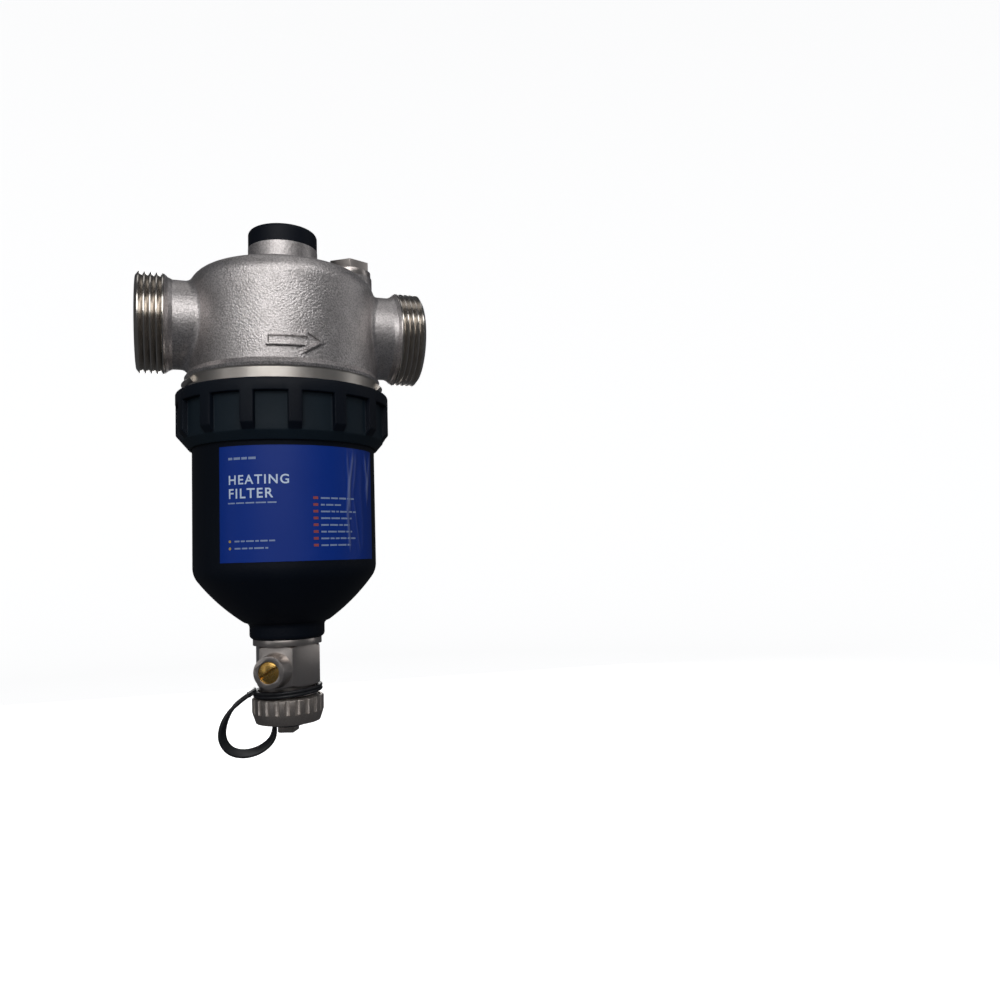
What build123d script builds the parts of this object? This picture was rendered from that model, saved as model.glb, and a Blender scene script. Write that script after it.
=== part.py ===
from build123d import *
import os
from math import cos, radians, sin, sqrt, tan

os.makedirs("parts", exist_ok=True)

# Magnetic system filter for a heating circuit. Millimetres, +Z up. The origin is where
# the axis of the pipe run (X, flow towards +X) crosses the axis of the bowl (Z).

# --- Clearances -------------------------------------------------------------------
run_gap = 0.08  # radial, spindle turning in its bore
slip_gap = 0.3  # radial, pieces that slide or screw past each other
seat_gap = 0.1  # pieces that stay together
thread_flat = 0.45  # width of a thread's crest

# --- Overall sizes ------------------------------------------------------------------
port_bore_r = 16.0  # DN 32
barrel_r = 40.0
port_reach = 20.0  # barrel to each pipe end's face
bowl_straight = 53.5  # bowl flange to the start of the domed bottom
ball_r = 9.0  # drain valve
pocket_r = 9.0  # dry pocket for the magnets
screen_r = 27.1

# --- Pipe ends: G 1 1/4 male ----------------------------------------------------------
port_wall = 2.7
port_thread_rise = 2.255  # neck to thread crest
port_pitch = 2.309
port_thread_depth = 1.479
port_turns = 4  # grooves; there is one crest more
port_lead_in = 1.15  # end face to the first crest
port_shoulder = 3.4  # runout from the last crest to the neck
port_fillet = 3.0

# --- Head barrel --------------------------------------------------------------------
barrel_wall = 4.0
barrel_roof = 2.5
shoulder_r = 9.0
rim_rise = 1.5  # cast edge at the foot of the barrel
rim_drop = 1.845  # pipe thread to the cast edge
rim_flare = 2.2
band_rise = 0.9  # machined band under the cast edge
band_step = 1.8
band_height = 4.2
chamber_fillet = 3.0
ridge_rise = 1.8  # V ridges on the band, under each pipe end
ridge_drop = 3.0
ridge_half = 2.5
ridge_angle = 23.0

# --- Spigot that the lock ring screws on ---------------------------------------------
spigot_relief = 2.2
spigot_length = 15.7
spigot_depth = 1.1
spigot_turns = 4
ring_lead = 3.0
spigot_chamfer = 1.0

# --- Centre neck and dry pocket --------------------------------------------------------
neck_wall = 2.8
neck_height = 13.0
neck_seat_depth = 6.0
pocket_wall = 1.3
pocket_flange_width = 3.2
pocket_flange = 2.5
pocket_floor = 2.0
pocket_ring_section = 0.9
clip_thickness = 1.0
clip_bite = 0.7
clip_width = 1.9
clip_gap_angle = 40.0

# --- Magnet core -----------------------------------------------------------------------
magnet_count = 5
pole_thickness = 3.0
pole_inset = 0.2
stack_drop = 3.0  # chamber roof to the first pole
carrier_wall = 0.55
carrier_drop = 3.5  # neck top to the carrier's end
plug_depth = 6.0
plug_flange = 2.0
stem_pin_r = 1.0
cap_height = 8.0
cap_edge = 2.0

# --- Vent plug --------------------------------------------------------------------------
vent_inset = 10.0  # its axis from the barrel's side
vent_y = 4.0
vent_boss_wall = 3.9
vent_boss_rise = 4.5
vent_boss_depth = 17.5
vent_hole_r = 6.6
vent_flange_r = 10.0
vent_flange = 3.0
vent_hex = 17.0
vent_hex_height = 4.0
vent_hex_turn = 23.0
vent_washer = 0.8
bleed_r = 2.4
bleed_proud = 0.5
bleed_slot = 0.8
bleed_slot_depth = 1.0

# --- Flow arrow -------------------------------------------------------------------------
arrow_proud = 0.6
arrow_z = -13.6
arrow_tail = -11.3
arrow_neck = 2.5
arrow_tip = 11.4
arrow_shaft_half = 2.55
arrow_head_half = 5.25

# --- Diverter in the head ----------------------------------------------------------------
diverter_wall = 1.5
riser_inset = 3.1  # riser inside the screen's outer radius
riser_gap = 1.7  # riser top to the chamber's roof
riser_drop = 1.2  # cast edge to the riser's foot
diverter_plate = 2.5
skirt_depth = 6.0
rib_count = 3
rib_width = 3.0

# --- Screen cartridge ---------------------------------------------------------------------
screen_wall = 1.3
screen_rows = 3
screen_windows = 12
screen_post = 2.6
screen_rail = 3.0
screen_top_rail = 6.0
screen_depth = 10.0  # below the bowl's straight part
screen_foot = 2.5
mesh_wall = 0.35

# --- Lock ring ---------------------------------------------------------------------------
ring_gap = 0.6  # machined band to the ring
ring_wall = 1.3  # behind a grip pocket
ring_edge = 1.0
ring_lip = 1.0
ring_lip_height = 3.7
ring_chamfer = 6.2
ring_groove_depth = 1.0
grip_count = 15
grip_angle = 17.0
grip_turn = -79.3
grip_depth = 2.4
grip_drop = 5.3

# --- Bowl ----------------------------------------------------------------------------------
bowl_wall = 3.2
flange_step = 1.4
flange_height = 4.7
flange_gap = 0.3  # spigot end to bowl flange, closed by the gasket
gasket_inset = 1.0
gasket_width = 1.9
gasket_groove = 1.5
bowl_corner_r = 10.0
bowl_corner_turn = 36.87  # degrees of the corner arc, up to the dome
dome_height = 25.4
bowl_neck_wall = 5.2
bowl_neck_height = 5.8
bowl_neck_edge = 2.0

# --- Label ---------------------------------------------------------------------------------
label_drop = 2.2
label_margin = 1.7
label_start = -137.5
label_sweep = 107.5
label_thickness = 0.15

# --- Drain valve ---------------------------------------------------------------------------
drain_tail_r = 10.48  # G 1/2
drain_tail_length = 10.2
drain_tail_bore_r = 6.5
drain_roof = 0.5  # collar to the ball's cavity
cavity_gap = 1.0  # ball to cavity, radial
cavity_wall = 2.5
collar_height = 2.5
drain_hex_height = 17.3
drain_hex_turn = -89.0
hex_edge = 0.9
seat_back = 0.4  # ball to the back of each seat, past the ball's radius
ball_bore_r = 4.0
seat_lap = 0.5
seat_height = 4.4
retainer_height = 5.0
retainer_bore_r = 6.0
boss_turn = -120.0
boss_wall = 2.1
boss_flare = 1.2
boss_reach = 10.4  # past the ball
spindle_r = 4.5
spindle_recess = 0.4
spindle_slot = 1.2
spindle_slot_depth = 1.4
spindle_rest_turn = 33.0  # slot above the level, with the ball just shut
spindle_ring_r = 0.55
tongue_thickness = 3.0
tongue_width = 7.0
tongue_depth = 2.6
drain_washer_height = 1.4
drain_washer_width = 2.3

# --- Hose end (G 3/4 male), its cap and strap --------------------------------------------------
hose_wall = 2.0
hose_thread_rise = 1.22
hose_pitch = 1.814
hose_relief = 5.3
hose_thread_length = 6.9
hose_groove_depth = 1.1
hose_turns = 3
drain_cap_wall = 1.48
drain_cap_gap = 0.4
drain_cap_skirt = 6.1
drain_cap_taper = 1.5
drain_cap_floor = 1.5
drain_cap_groove = 0.5
flute_count = 22
flute_r = 1.2
flute_depth = 0.55
stub_square = 7.0
stub_turn = -71.0
stub_height = 4.8
stub_neck_r = 3.4
stub_neck = 1.9
stub_chamfer = 0.5
cap_gasket_height = 1.7
strap_ring_wall = 2.0
strap_ring_height = 2.8
strap_ring_tilt = 3.5
strap_tab = 3.5
strap_width = 3.8
strap_thickness = 1.6
strap_route = [  # (X, Z) of the strap's centreline, from the neck ring to the eye
    (-16.2, -157.3),
    (-19.6, -159.3),
    (-24.0, -163.4),
    (-26.9, -169.2),
    (-27.3, -175.0),
    (-24.2, -180.0),
    (-18.6, -182.0),
    (-12.3, -181.1),
    (-7.6, -178.0),
    (-5.8, -174.4),
]
eye_r = 7.1
eye_height = 1.4
eye_gap = 0.25

# --- Heights and radii that follow, from the pipe run outwards -----------------------------------
port_face = barrel_r + port_reach
port_neck_r = port_bore_r + port_wall
port_thread_r = port_neck_r + port_thread_rise
port_root_r = port_thread_r - port_thread_depth
first_crest = port_face - port_lead_in
groove_start = first_crest - thread_flat / 2
last_crest = first_crest - port_turns * port_pitch - thread_flat

riser_r = screen_r - riser_inset
riser_top = port_bore_r + slip_gap + 2 * diverter_wall
chamber_top = riser_top + riser_gap
chamber_r = barrel_r - barrel_wall
barrel_top = chamber_top + barrel_roof
neck_top = barrel_top + neck_height

rim_z = -port_thread_r - rim_drop
rim_r = barrel_r + rim_rise
band_r = barrel_r + band_rise
band_top = rim_z - band_step
band_bottom = band_top - band_height
ridge_r = band_r + ridge_rise
ridge_z = rim_z - ridge_drop
riser_bottom = rim_z - riser_drop
plate_bottom = riser_bottom - diverter_plate

spigot_thread_r = barrel_r
spigot_root_r = spigot_thread_r - spigot_depth
spigot_top = band_bottom - spigot_relief
spigot_end = band_bottom - spigot_length
ring_bore_r = spigot_thread_r + slip_gap
flange_r = ring_bore_r - slip_gap - seat_gap
flange_top = spigot_end - flange_gap
flange_bottom = flange_top - flange_height
bowl_r = flange_r - flange_step
bowl_bore_r = drain_tail_r + seat_gap
bowl_neck_r = bowl_bore_r + bowl_neck_wall
bowl_straight_end = flange_bottom - bowl_straight
bowl_neck_top = bowl_straight_end - dome_height
bowl_neck_bottom = bowl_neck_top - bowl_neck_height


def groove_sketch(crest, root, pitch, turns, first):
    """V grooves in a column below the height first, as one flat sketch of (radius, height)."""
    half = (pitch - thread_flat) / 2
    reach = crest + (crest - root)
    slope = half / abs(crest - root)
    with BuildSketch() as grooves:
        for turn in range(turns):
            middle = first - pitch * (turn + 0.5)
            spread = half + slope * abs(reach - crest)
            with BuildLine():
                Polyline((root, middle), (reach, middle + spread), (reach, middle - spread), close=True)
            make_face()
    return grooves.sketch


def sector(inner, outer, start, sweep):
    """A flat ring sector between two radii, from the angle start round by sweep degrees."""
    with BuildSketch() as piece:
        with BuildLine():
            far = CenterArc((0, 0), outer, start, sweep)
            near = CenterArc((0, 0), inner, start, sweep)
            Line(near @ 0, far @ 0)
            Line(near @ 1, far @ 1)
        make_face()
    return piece.sketch


def bend_radii(route):
    """The largest tangent arc for each corner of a route: 0.45 of its shorter run."""
    found = []
    for before, corner, after in zip(route, route[1:], route[2:]):
        arriving = Vector(*corner) - Vector(*before)
        leaving = Vector(*after) - Vector(*corner)
        turn = arriving.get_angle(leaving)
        found.append(0.45 * min(arriving.length, leaving.length) / tan(radians(turn / 2)))
    return found


# === Head =====================================================================================

with BuildPart() as arrow:
    with BuildSketch(Plane.XZ):
        with BuildLine():
            Polyline(
                (arrow_tail, arrow_z - arrow_shaft_half),
                (arrow_neck, arrow_z - arrow_shaft_half),
                (arrow_neck, arrow_z - arrow_head_half),
                (arrow_tip, arrow_z),
                (arrow_neck, arrow_z + arrow_head_half),
                (arrow_neck, arrow_z + arrow_shaft_half),
                (arrow_tail, arrow_z + arrow_shaft_half),
                close=True,
            )
        make_face()
    extrude(amount=2 * barrel_r)
    Cylinder(barrel_r + arrow_proud, 2 * barrel_r, mode=Mode.INTERSECT)
    Cylinder(barrel_r - barrel_wall / 2, 2 * barrel_r, mode=Mode.SUBTRACT)

with BuildPart() as ridges:
    with BuildSketch(Plane.XZ):
        with BuildLine():
            Polyline(
                (band_r - ridge_half, ridge_z + ridge_half),
                (ridge_r - ridge_half / 2, ridge_z + ridge_half / 2),
                (ridge_r, ridge_z),
                (ridge_r - ridge_half / 2, ridge_z - ridge_half / 2),
                (band_r - ridge_half, ridge_z - ridge_half),
                close=True,
            )
        make_face()
    revolve(axis=Axis.Z)
    with BuildSketch(Plane.XY.offset(ridge_z - ridge_half)):
        add(sector(chamber_r + 1, ridge_r + 1, -ridge_angle, 2 * ridge_angle))
        add(sector(chamber_r + 1, ridge_r + 1, 180 - ridge_angle, 2 * ridge_angle))
    extrude(amount=2 * ridge_half, mode=Mode.INTERSECT)


vent_x = barrel_r - vent_inset
vent_boss_r = vent_hole_r + vent_boss_wall
vent_boss_top = barrel_top + vent_boss_rise
pocket_bore_r = pocket_r - pocket_wall
neck_seat_r = pocket_r + pocket_flange_width
neck_r = neck_seat_r + neck_wall
neck_seat_z = neck_top - neck_seat_depth
pocket_flange_z = neck_seat_z + 2 * pocket_ring_section
clip_z = pocket_flange_z + pocket_flange

with BuildPart() as head_body:
    # barrel down to its cast edge
    with BuildSketch(Plane.XZ):
        with BuildLine():
            Polyline((0, rim_z), (0, barrel_top), (barrel_r - shoulder_r, barrel_top))
            RadiusArc((barrel_r - shoulder_r, barrel_top), (barrel_r, barrel_top - shoulder_r), shoulder_r)
            Line((barrel_r, barrel_top - shoulder_r), (barrel_r, rim_z + rim_flare))
            Line((barrel_r, rim_z + rim_flare), (rim_r, rim_z))
            Line((rim_r, rim_z), (0, rim_z))
        make_face()
    revolve(axis=Axis.Z)
    # pipe end on +X, with its runout behind the last crest
    with BuildSketch(Plane.XZ):
        with BuildLine():
            Polyline(
                (0, 0),
                (0, port_neck_r),
                (last_crest - port_shoulder, port_neck_r),
                (last_crest - port_shoulder / 2, port_root_r),
                (last_crest, port_thread_r),
                (first_crest, port_thread_r),
                (port_face, port_root_r),
                (port_face, 0),
                close=True,
            )
        make_face()
    revolve(axis=Axis.X)
    mirror(about=Plane.YZ)
    port_roots = head_body.edges().filter_by(GeomType.CIRCLE, reverse=True)
    port_roots = port_roots.filter_by(lambda edge: abs(edge.center().X) > barrel_r - shoulder_r)
    fillet(port_roots, port_fillet)
    # boss for the vent plug
    with BuildSketch(Plane.XY.offset(vent_boss_top)):
        with Locations((vent_x, vent_y)):
            Circle(vent_boss_r)
    extrude(amount=-vent_boss_depth - vent_boss_rise)
    # centre neck
    with BuildSketch(Plane.XY.offset(barrel_top - 1)):
        Circle(neck_r)
    extrude(amount=neck_top - barrel_top + 1)
    # machined band and threaded spigot
    with BuildSketch(Plane.XZ):
        with BuildLine():
            Polyline(
                (0, rim_z),
                (rim_r, rim_z),
                (band_r, band_top),
                (band_r, band_bottom),
                (spigot_root_r, band_bottom),
                (spigot_root_r, spigot_top + spigot_chamfer),
                (spigot_thread_r, spigot_top),
                (spigot_thread_r, spigot_end + spigot_chamfer),
                (spigot_thread_r - spigot_chamfer, spigot_end),
                (0, spigot_end),
                close=True,
            )
        make_face()
    revolve(axis=Axis.Z)
    with BuildSketch(Plane.XZ):
        add(groove_sketch(spigot_thread_r, spigot_root_r, ring_lead, spigot_turns, spigot_top))
    revolve(axis=Axis.Z, mode=Mode.SUBTRACT)
    # thread on each pipe end
    with BuildSketch(Plane((0, 0, 0), x_dir=(0, 0, 1), z_dir=(0, 1, 0))):
        add(groove_sketch(port_thread_r, port_root_r, port_pitch, port_turns, groove_start))
    revolve(axis=Axis.X, mode=Mode.SUBTRACT)
    with BuildSketch(Plane((0, 0, 0), x_dir=(0, 0, 1), z_dir=(0, -1, 0))):
        add(groove_sketch(port_thread_r, port_root_r, port_pitch, port_turns, groove_start))
    revolve(axis=Axis.X, mode=Mode.SUBTRACT)
    add(arrow.part)
    add(ridges.part)
    # chamber, neck bore and seat
    with BuildSketch(Plane.XZ):
        with BuildLine():
            Polyline(
                (0, spigot_end),
                (chamber_r, spigot_end),
                (chamber_r, chamber_top - chamber_fillet),
            )
            RadiusArc(
                (chamber_r, chamber_top - chamber_fillet),
                (chamber_r - chamber_fillet, chamber_top),
                -chamber_fillet,
            )
            Polyline((chamber_r - chamber_fillet, chamber_top), (0, chamber_top), (0, spigot_end))
        make_face()
    revolve(axis=Axis.Z, mode=Mode.SUBTRACT)
    with BuildSketch(Plane.YZ.offset(-port_face)):
        Circle(port_bore_r)
    extrude(amount=2 * port_face, mode=Mode.SUBTRACT)
    with BuildSketch(Plane.XY.offset(chamber_top)):
        Circle(pocket_r + seat_gap)
    extrude(amount=neck_top - chamber_top, mode=Mode.SUBTRACT)
    with BuildSketch(Plane.XY.offset(neck_seat_z)):
        Circle(neck_seat_r)
    extrude(amount=neck_top - neck_seat_z, mode=Mode.SUBTRACT)
    with BuildSketch(Plane.XY.offset(clip_z)):
        Circle(neck_seat_r + clip_bite)
    extrude(amount=clip_thickness, mode=Mode.SUBTRACT)
    with BuildSketch(Plane.XY.offset(chamber_top - chamber_fillet)):
        with Locations((vent_x, vent_y)):
            Circle(vent_hole_r)
    extrude(amount=vent_boss_top - chamber_top + chamber_fillet, mode=Mode.SUBTRACT)
head_body.part.label = "head_body"
export_step(head_body.part, "parts/head_body.step")

# === Dry pocket and what holds it ================================================================

screen_foot_z = bowl_straight_end - screen_depth
pocket_bottom = screen_foot_z + screen_foot / 2

with BuildPart() as pocket_tube:
    with BuildSketch(Plane.XY.offset(pocket_bottom)):
        Circle(pocket_r)
    extrude(amount=clip_z - pocket_bottom)
    fillet(pocket_tube.edges().group_by(Axis.Z)[0], pocket_floor)
    with BuildSketch(Plane.XY.offset(pocket_flange_z)):
        Circle(neck_seat_r - seat_gap)
    extrude(amount=pocket_flange)
    with BuildSketch(Plane.XY.offset(pocket_bottom + pocket_floor)):
        Circle(pocket_bore_r)
    extrude(amount=clip_z - pocket_bottom, mode=Mode.SUBTRACT)
pocket_tube.part.label = "pocket_tube"
export_step(pocket_tube.part, "parts/pocket_tube.step")

with BuildPart() as pocket_oring:
    with BuildSketch(Plane.XZ):
        with Locations((neck_seat_r - pocket_ring_section - seat_gap, neck_seat_z + pocket_ring_section)):
            Circle(pocket_ring_section)
    revolve(axis=Axis.Z)
pocket_oring.part.label = "pocket_oring"
export_step(pocket_oring.part, "parts/pocket_oring.step")

with BuildPart() as pocket_clip:
    with BuildSketch(Plane.XY.offset(clip_z)):
        clip_outer = neck_seat_r + clip_bite - seat_gap
        add(sector(clip_outer - clip_width, clip_outer, 90 + clip_gap_angle / 2, 360 - clip_gap_angle))
    extrude(amount=clip_thickness)
pocket_clip.part.label = "pocket_clip"
export_step(pocket_clip.part, "parts/pocket_clip.step")

# === Magnet core, which pulls up out of the pocket =================================================

carrier_r = pocket_bore_r - slip_gap
carrier_bore_r = carrier_r - carrier_wall
carrier_top = neck_top - carrier_drop
carrier_bottom = pocket_bottom + 2 * pocket_floor + plug_flange
stack_top = chamber_top - stack_drop
stack_bottom = carrier_bottom + plug_depth
magnet_r = carrier_bore_r - seat_gap
magnet_length = (stack_top - stack_bottom - (magnet_count + 1) * pole_thickness) / magnet_count
cap_r = neck_r - seat_gap

with BuildPart() as carrier_tube:
    with BuildSketch(Plane.XY.offset(carrier_bottom)):
        Circle(carrier_r)
        Circle(carrier_bore_r, mode=Mode.SUBTRACT)
    extrude(amount=carrier_top - carrier_bottom)
    pin_z = (stack_top + carrier_top) / 2
    with BuildSketch(Plane.XZ.offset(-carrier_r)):
        with Locations((0, pin_z)):
            Circle(stem_pin_r)
    extrude(amount=2 * carrier_r, mode=Mode.SUBTRACT)
carrier_tube.part.label = "carrier_tube"
export_step(carrier_tube.part, "parts/carrier_tube.step")

with BuildPart() as magnets:
    for place in range(magnet_count):
        magnet_z = stack_bottom + pole_thickness + place * (magnet_length + pole_thickness)
        with BuildSketch(Plane.XY.offset(magnet_z)):
            Circle(magnet_r)
        extrude(amount=magnet_length)
magnets.part.label = "magnets"
export_step(magnets.part, "parts/magnets.step")

with BuildPart() as pole_spacers:
    for place in range(magnet_count + 1):
        with BuildSketch(Plane.XY.offset(stack_bottom + place * (magnet_length + pole_thickness))):
            Circle(magnet_r - pole_inset)
        extrude(amount=pole_thickness)
pole_spacers.part.label = "pole_spacers"
export_step(pole_spacers.part, "parts/pole_spacers.step")

with BuildPart() as carrier_plug:
    with BuildSketch(Plane.XY.offset(carrier_bottom)):
        Circle(carrier_bore_r - seat_gap / 2)
    extrude(amount=plug_depth)
    with BuildSketch(Plane.XY.offset(carrier_bottom - plug_flange)):
        Circle(carrier_r)
    extrude(amount=plug_flange)
    chamfer(carrier_plug.edges().group_by(Axis.Z)[0], plug_flange / 2)
carrier_plug.part.label = "carrier_plug"
export_step(carrier_plug.part, "parts/carrier_plug.step")

with BuildPart() as magnet_cap:
    with BuildSketch(Plane.XY.offset(neck_top)):
        Circle(cap_r)
    extrude(amount=cap_height)
    fillet(magnet_cap.edges().group_by(Axis.Z)[-1], cap_edge)
    with BuildSketch(Plane.XY.offset(stack_top)):
        Circle(carrier_bore_r - seat_gap / 2)
    extrude(amount=neck_top - stack_top)
    with BuildSketch(Plane.XZ.offset(-carrier_r)):
        with Locations((0, pin_z)):
            Circle(stem_pin_r)
    extrude(amount=2 * carrier_r, mode=Mode.SUBTRACT)
magnet_cap.part.label = "magnet_cap"
export_step(magnet_cap.part, "parts/magnet_cap.step")

with BuildPart() as stem_pin:
    with BuildSketch(Plane.XZ.offset(-carrier_r + seat_gap)):
        with Locations((0, pin_z)):
            Circle(stem_pin_r)
    extrude(amount=2 * (carrier_r - seat_gap))
stem_pin.part.label = "stem_pin"
export_step(stem_pin.part, "parts/stem_pin.step")

# === Vent plug with its bleed screw =================================================================

vent_hex_top = vent_boss_top + vent_flange + vent_hex_height
bleed_top = vent_hex_top + bleed_proud
vent_bottom = chamber_top

with BuildPart() as vent_plug:
    with BuildSketch(Plane.XY.offset(vent_boss_top)):
        with Locations((vent_x, vent_y)):
            Circle(vent_flange_r)
    extrude(amount=vent_flange)
    with BuildSketch(Plane.XY.offset(vent_boss_top + vent_flange)):
        with Locations((vent_x, vent_y)):
            RegularPolygon(vent_hex / 2, 6, major_radius=False, rotation=vent_hex_turn)
    extrude(amount=vent_hex_height)
    with BuildSketch(Plane.XY.offset(vent_bottom)):
        with Locations((vent_x, vent_y)):
            Circle(vent_hole_r - seat_gap)
    extrude(amount=vent_boss_top - vent_bottom)
    with BuildSketch(Plane.XY.offset(vent_boss_top)):
        with Locations((vent_x, vent_y)):
            Circle(vent_flange_r - vent_washer)
            Circle(vent_hole_r - seat_gap, mode=Mode.SUBTRACT)
    extrude(amount=vent_washer, mode=Mode.SUBTRACT)
    with BuildSketch(Plane.XY.offset(vent_bottom)):
        with Locations((vent_x, vent_y)):
            Circle(bleed_r + run_gap)
    extrude(amount=vent_hex_top - vent_bottom, mode=Mode.SUBTRACT)
vent_plug.part.label = "vent_plug"
export_step(vent_plug.part, "parts/vent_plug.step")

with BuildPart() as vent_gasket:
    with BuildSketch(Plane.XY.offset(vent_boss_top)):
        with Locations((vent_x, vent_y)):
            Circle(vent_flange_r - vent_washer - seat_gap)
            Circle(vent_hole_r + seat_gap, mode=Mode.SUBTRACT)
    extrude(amount=vent_washer)
vent_gasket.part.label = "vent_gasket"
export_step(vent_gasket.part, "parts/vent_gasket.step")

with BuildPart() as bleed_screw:
    with BuildSketch(Plane.XY.offset(vent_bottom)):
        with Locations((vent_x, vent_y)):
            Circle(bleed_r)
    extrude(amount=bleed_top - vent_bottom)
    chamfer(bleed_screw.edges().group_by(Axis.Z)[0], bleed_r / 2)
    with BuildSketch(Plane.XY.offset(bleed_top - bleed_slot_depth)):
        with Locations(Location((vent_x, vent_y), vent_hex_turn)):
            Rectangle(3 * bleed_r, bleed_slot)
    extrude(amount=bleed_slot_depth, mode=Mode.SUBTRACT)
bleed_screw.part.label = "bleed_screw"
export_step(bleed_screw.part, "parts/bleed_screw.step")

# === Flow diverter ====================================================================================

skirt_inner_r = screen_r + slip_gap
skirt_r = skirt_inner_r + diverter_wall
spout_bore_r = port_bore_r + slip_gap

with BuildPart() as flow_diverter:
    with BuildSketch(Plane.XY.offset(riser_bottom)):
        Circle(riser_r)
    extrude(amount=riser_top - riser_bottom)
    with BuildSketch(Plane.YZ):
        Circle(spout_bore_r + diverter_wall)
    extrude(amount=barrel_r)
    with BuildSketch(Plane.XY.offset(plate_bottom - skirt_depth)):
        Circle(skirt_r)
    extrude(amount=skirt_depth + diverter_plate)
    with BuildSketch(Plane.XY.offset(plate_bottom)):
        with PolarLocations(0, rib_count, start_angle=90):
            with Locations((chamber_r / 2, 0)):
                Rectangle(chamber_r, rib_width)
    extrude(amount=diverter_plate)
    Cylinder(chamber_r - seat_gap, 2 * barrel_r, mode=Mode.INTERSECT)
    with BuildSketch(Plane.XY.offset(plate_bottom)):
        Circle(riser_r - diverter_wall)
    extrude(amount=riser_top - diverter_wall - plate_bottom, mode=Mode.SUBTRACT)
    with BuildSketch(Plane.YZ):
        Circle(spout_bore_r)
    extrude(amount=barrel_r, mode=Mode.SUBTRACT)
    with BuildSketch(Plane.XY.offset(plate_bottom - skirt_depth)):
        Circle(skirt_inner_r)
    extrude(amount=skirt_depth, mode=Mode.SUBTRACT)
    with BuildSketch(Plane.XY.offset(riser_top - 2 * diverter_wall)):
        Circle(pocket_r + seat_gap)
    extrude(amount=3 * diverter_wall, mode=Mode.SUBTRACT)
flow_diverter.part.label = "flow_diverter"
export_step(flow_diverter.part, "parts/flow_diverter.step")

# === Screen cartridge ==================================================================================

screen_top = plate_bottom - slip_gap
screen_bore_r = screen_r - screen_wall
window_top = screen_top - screen_top_rail
window_bottom = screen_foot_z + screen_foot + screen_rail
window_pitch = (window_top - window_bottom + screen_rail) / screen_rows

with BuildPart() as screen_cage:
    with BuildSketch(Plane.XY.offset(screen_foot_z)):
        Circle(screen_r)
        Circle(screen_bore_r, mode=Mode.SUBTRACT)
    extrude(amount=screen_top - screen_foot_z)
    with BuildSketch(Plane.XY.offset(screen_foot_z)):
        Circle(screen_r)
        Circle(pocket_r + slip_gap, mode=Mode.SUBTRACT)
    extrude(amount=screen_foot)
    window_width = 360 / screen_windows * radians(screen_r) - screen_post
    for row in range(screen_rows):
        with BuildSketch(Plane.XY.offset(window_bottom + row * window_pitch)):
            with PolarLocations(screen_r, screen_windows, start_angle=180 / screen_windows):
                Rectangle(4 * screen_wall, window_width)
        extrude(amount=window_pitch - screen_rail, mode=Mode.SUBTRACT)
screen_cage.part.label = "screen_cage"
export_step(screen_cage.part, "parts/screen_cage.step")

with BuildPart() as screen_mesh:
    with BuildSketch(Plane.XY.offset(screen_foot_z + screen_foot)):
        Circle(screen_bore_r)
        Circle(screen_bore_r - mesh_wall, mode=Mode.SUBTRACT)
    extrude(amount=screen_top - screen_foot_z - screen_foot)
screen_mesh.part.label = "screen_mesh"
export_step(screen_mesh.part, "parts/screen_mesh.step")

# === Lock ring =========================================================================================

lip_bore_r = bowl_r + slip_gap
grip_floor_r = ring_bore_r + ring_groove_depth + ring_wall
ring_r = grip_floor_r + grip_depth
ring_top = band_bottom - ring_gap
ring_bottom = flange_bottom - ring_lip_height
ring_chamfer_top = ring_bottom + ring_chamfer
grip_top = ring_top - grip_drop

with BuildPart() as lock_ring:
    with BuildSketch(Plane.XZ):
        with BuildLine():
            Polyline(
                (ring_bore_r, ring_top),
                (ring_r, ring_top),
                (ring_r, ring_chamfer_top),
                (lip_bore_r + ring_lip, ring_bottom),
                (lip_bore_r, ring_bottom),
                (lip_bore_r, flange_bottom),
                (ring_bore_r, flange_bottom),
                close=True,
            )
        make_face()
    revolve(axis=Axis.Z)
    fillet(lock_ring.edges().group_by(Axis.Z)[-1].sort_by(SortBy.RADIUS)[-1], ring_edge)
    with BuildSketch(Plane.XZ):
        add(groove_sketch(ring_bore_r, ring_bore_r + ring_groove_depth, ring_lead, spigot_turns, spigot_top))
    revolve(axis=Axis.Z, mode=Mode.SUBTRACT)
    for place in range(grip_count):
        grip_start = grip_turn - grip_angle / 2 + place * 360 / grip_count
        with BuildSketch(Plane.XY.offset(ring_bottom - 1)):
            add(sector(grip_floor_r, ring_r + 1, grip_start, grip_angle))
        extrude(amount=grip_top - ring_bottom + 1, mode=Mode.SUBTRACT)
lock_ring.part.label = "lock_ring"
export_step(lock_ring.part, "parts/lock_ring.step")

# === Bowl, its gasket and label ===========================================================================

gasket_inner_r = chamber_r + gasket_inset
corner_centre_r = bowl_r - bowl_corner_r
dome_x = cos(radians(bowl_corner_turn))
dome_z = sin(radians(bowl_corner_turn))
corner_end = (corner_centre_r + bowl_corner_r * dome_x, bowl_straight_end - bowl_corner_r * dome_z)
# the dome's arc starts along the corner's end and finishes at the neck
chord_x = bowl_neck_r - corner_end[0]
chord_z = bowl_neck_top - corner_end[1]
dome_r = (chord_x**2 + chord_z**2) / 2 / abs(chord_x * dome_x - chord_z * dome_z)
dome_centre = (corner_end[0] - dome_r * dome_x, corner_end[1] + dome_r * dome_z)
inner_dome_r = dome_r - bowl_wall
inner_corner_r = bowl_corner_r - bowl_wall
inner_corner_end = (
    corner_centre_r + inner_corner_r * dome_x,
    bowl_straight_end - inner_corner_r * dome_z,
)
bore_top = dome_centre[1] - sqrt(inner_dome_r**2 - (bowl_bore_r - dome_centre[0]) ** 2)

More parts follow.
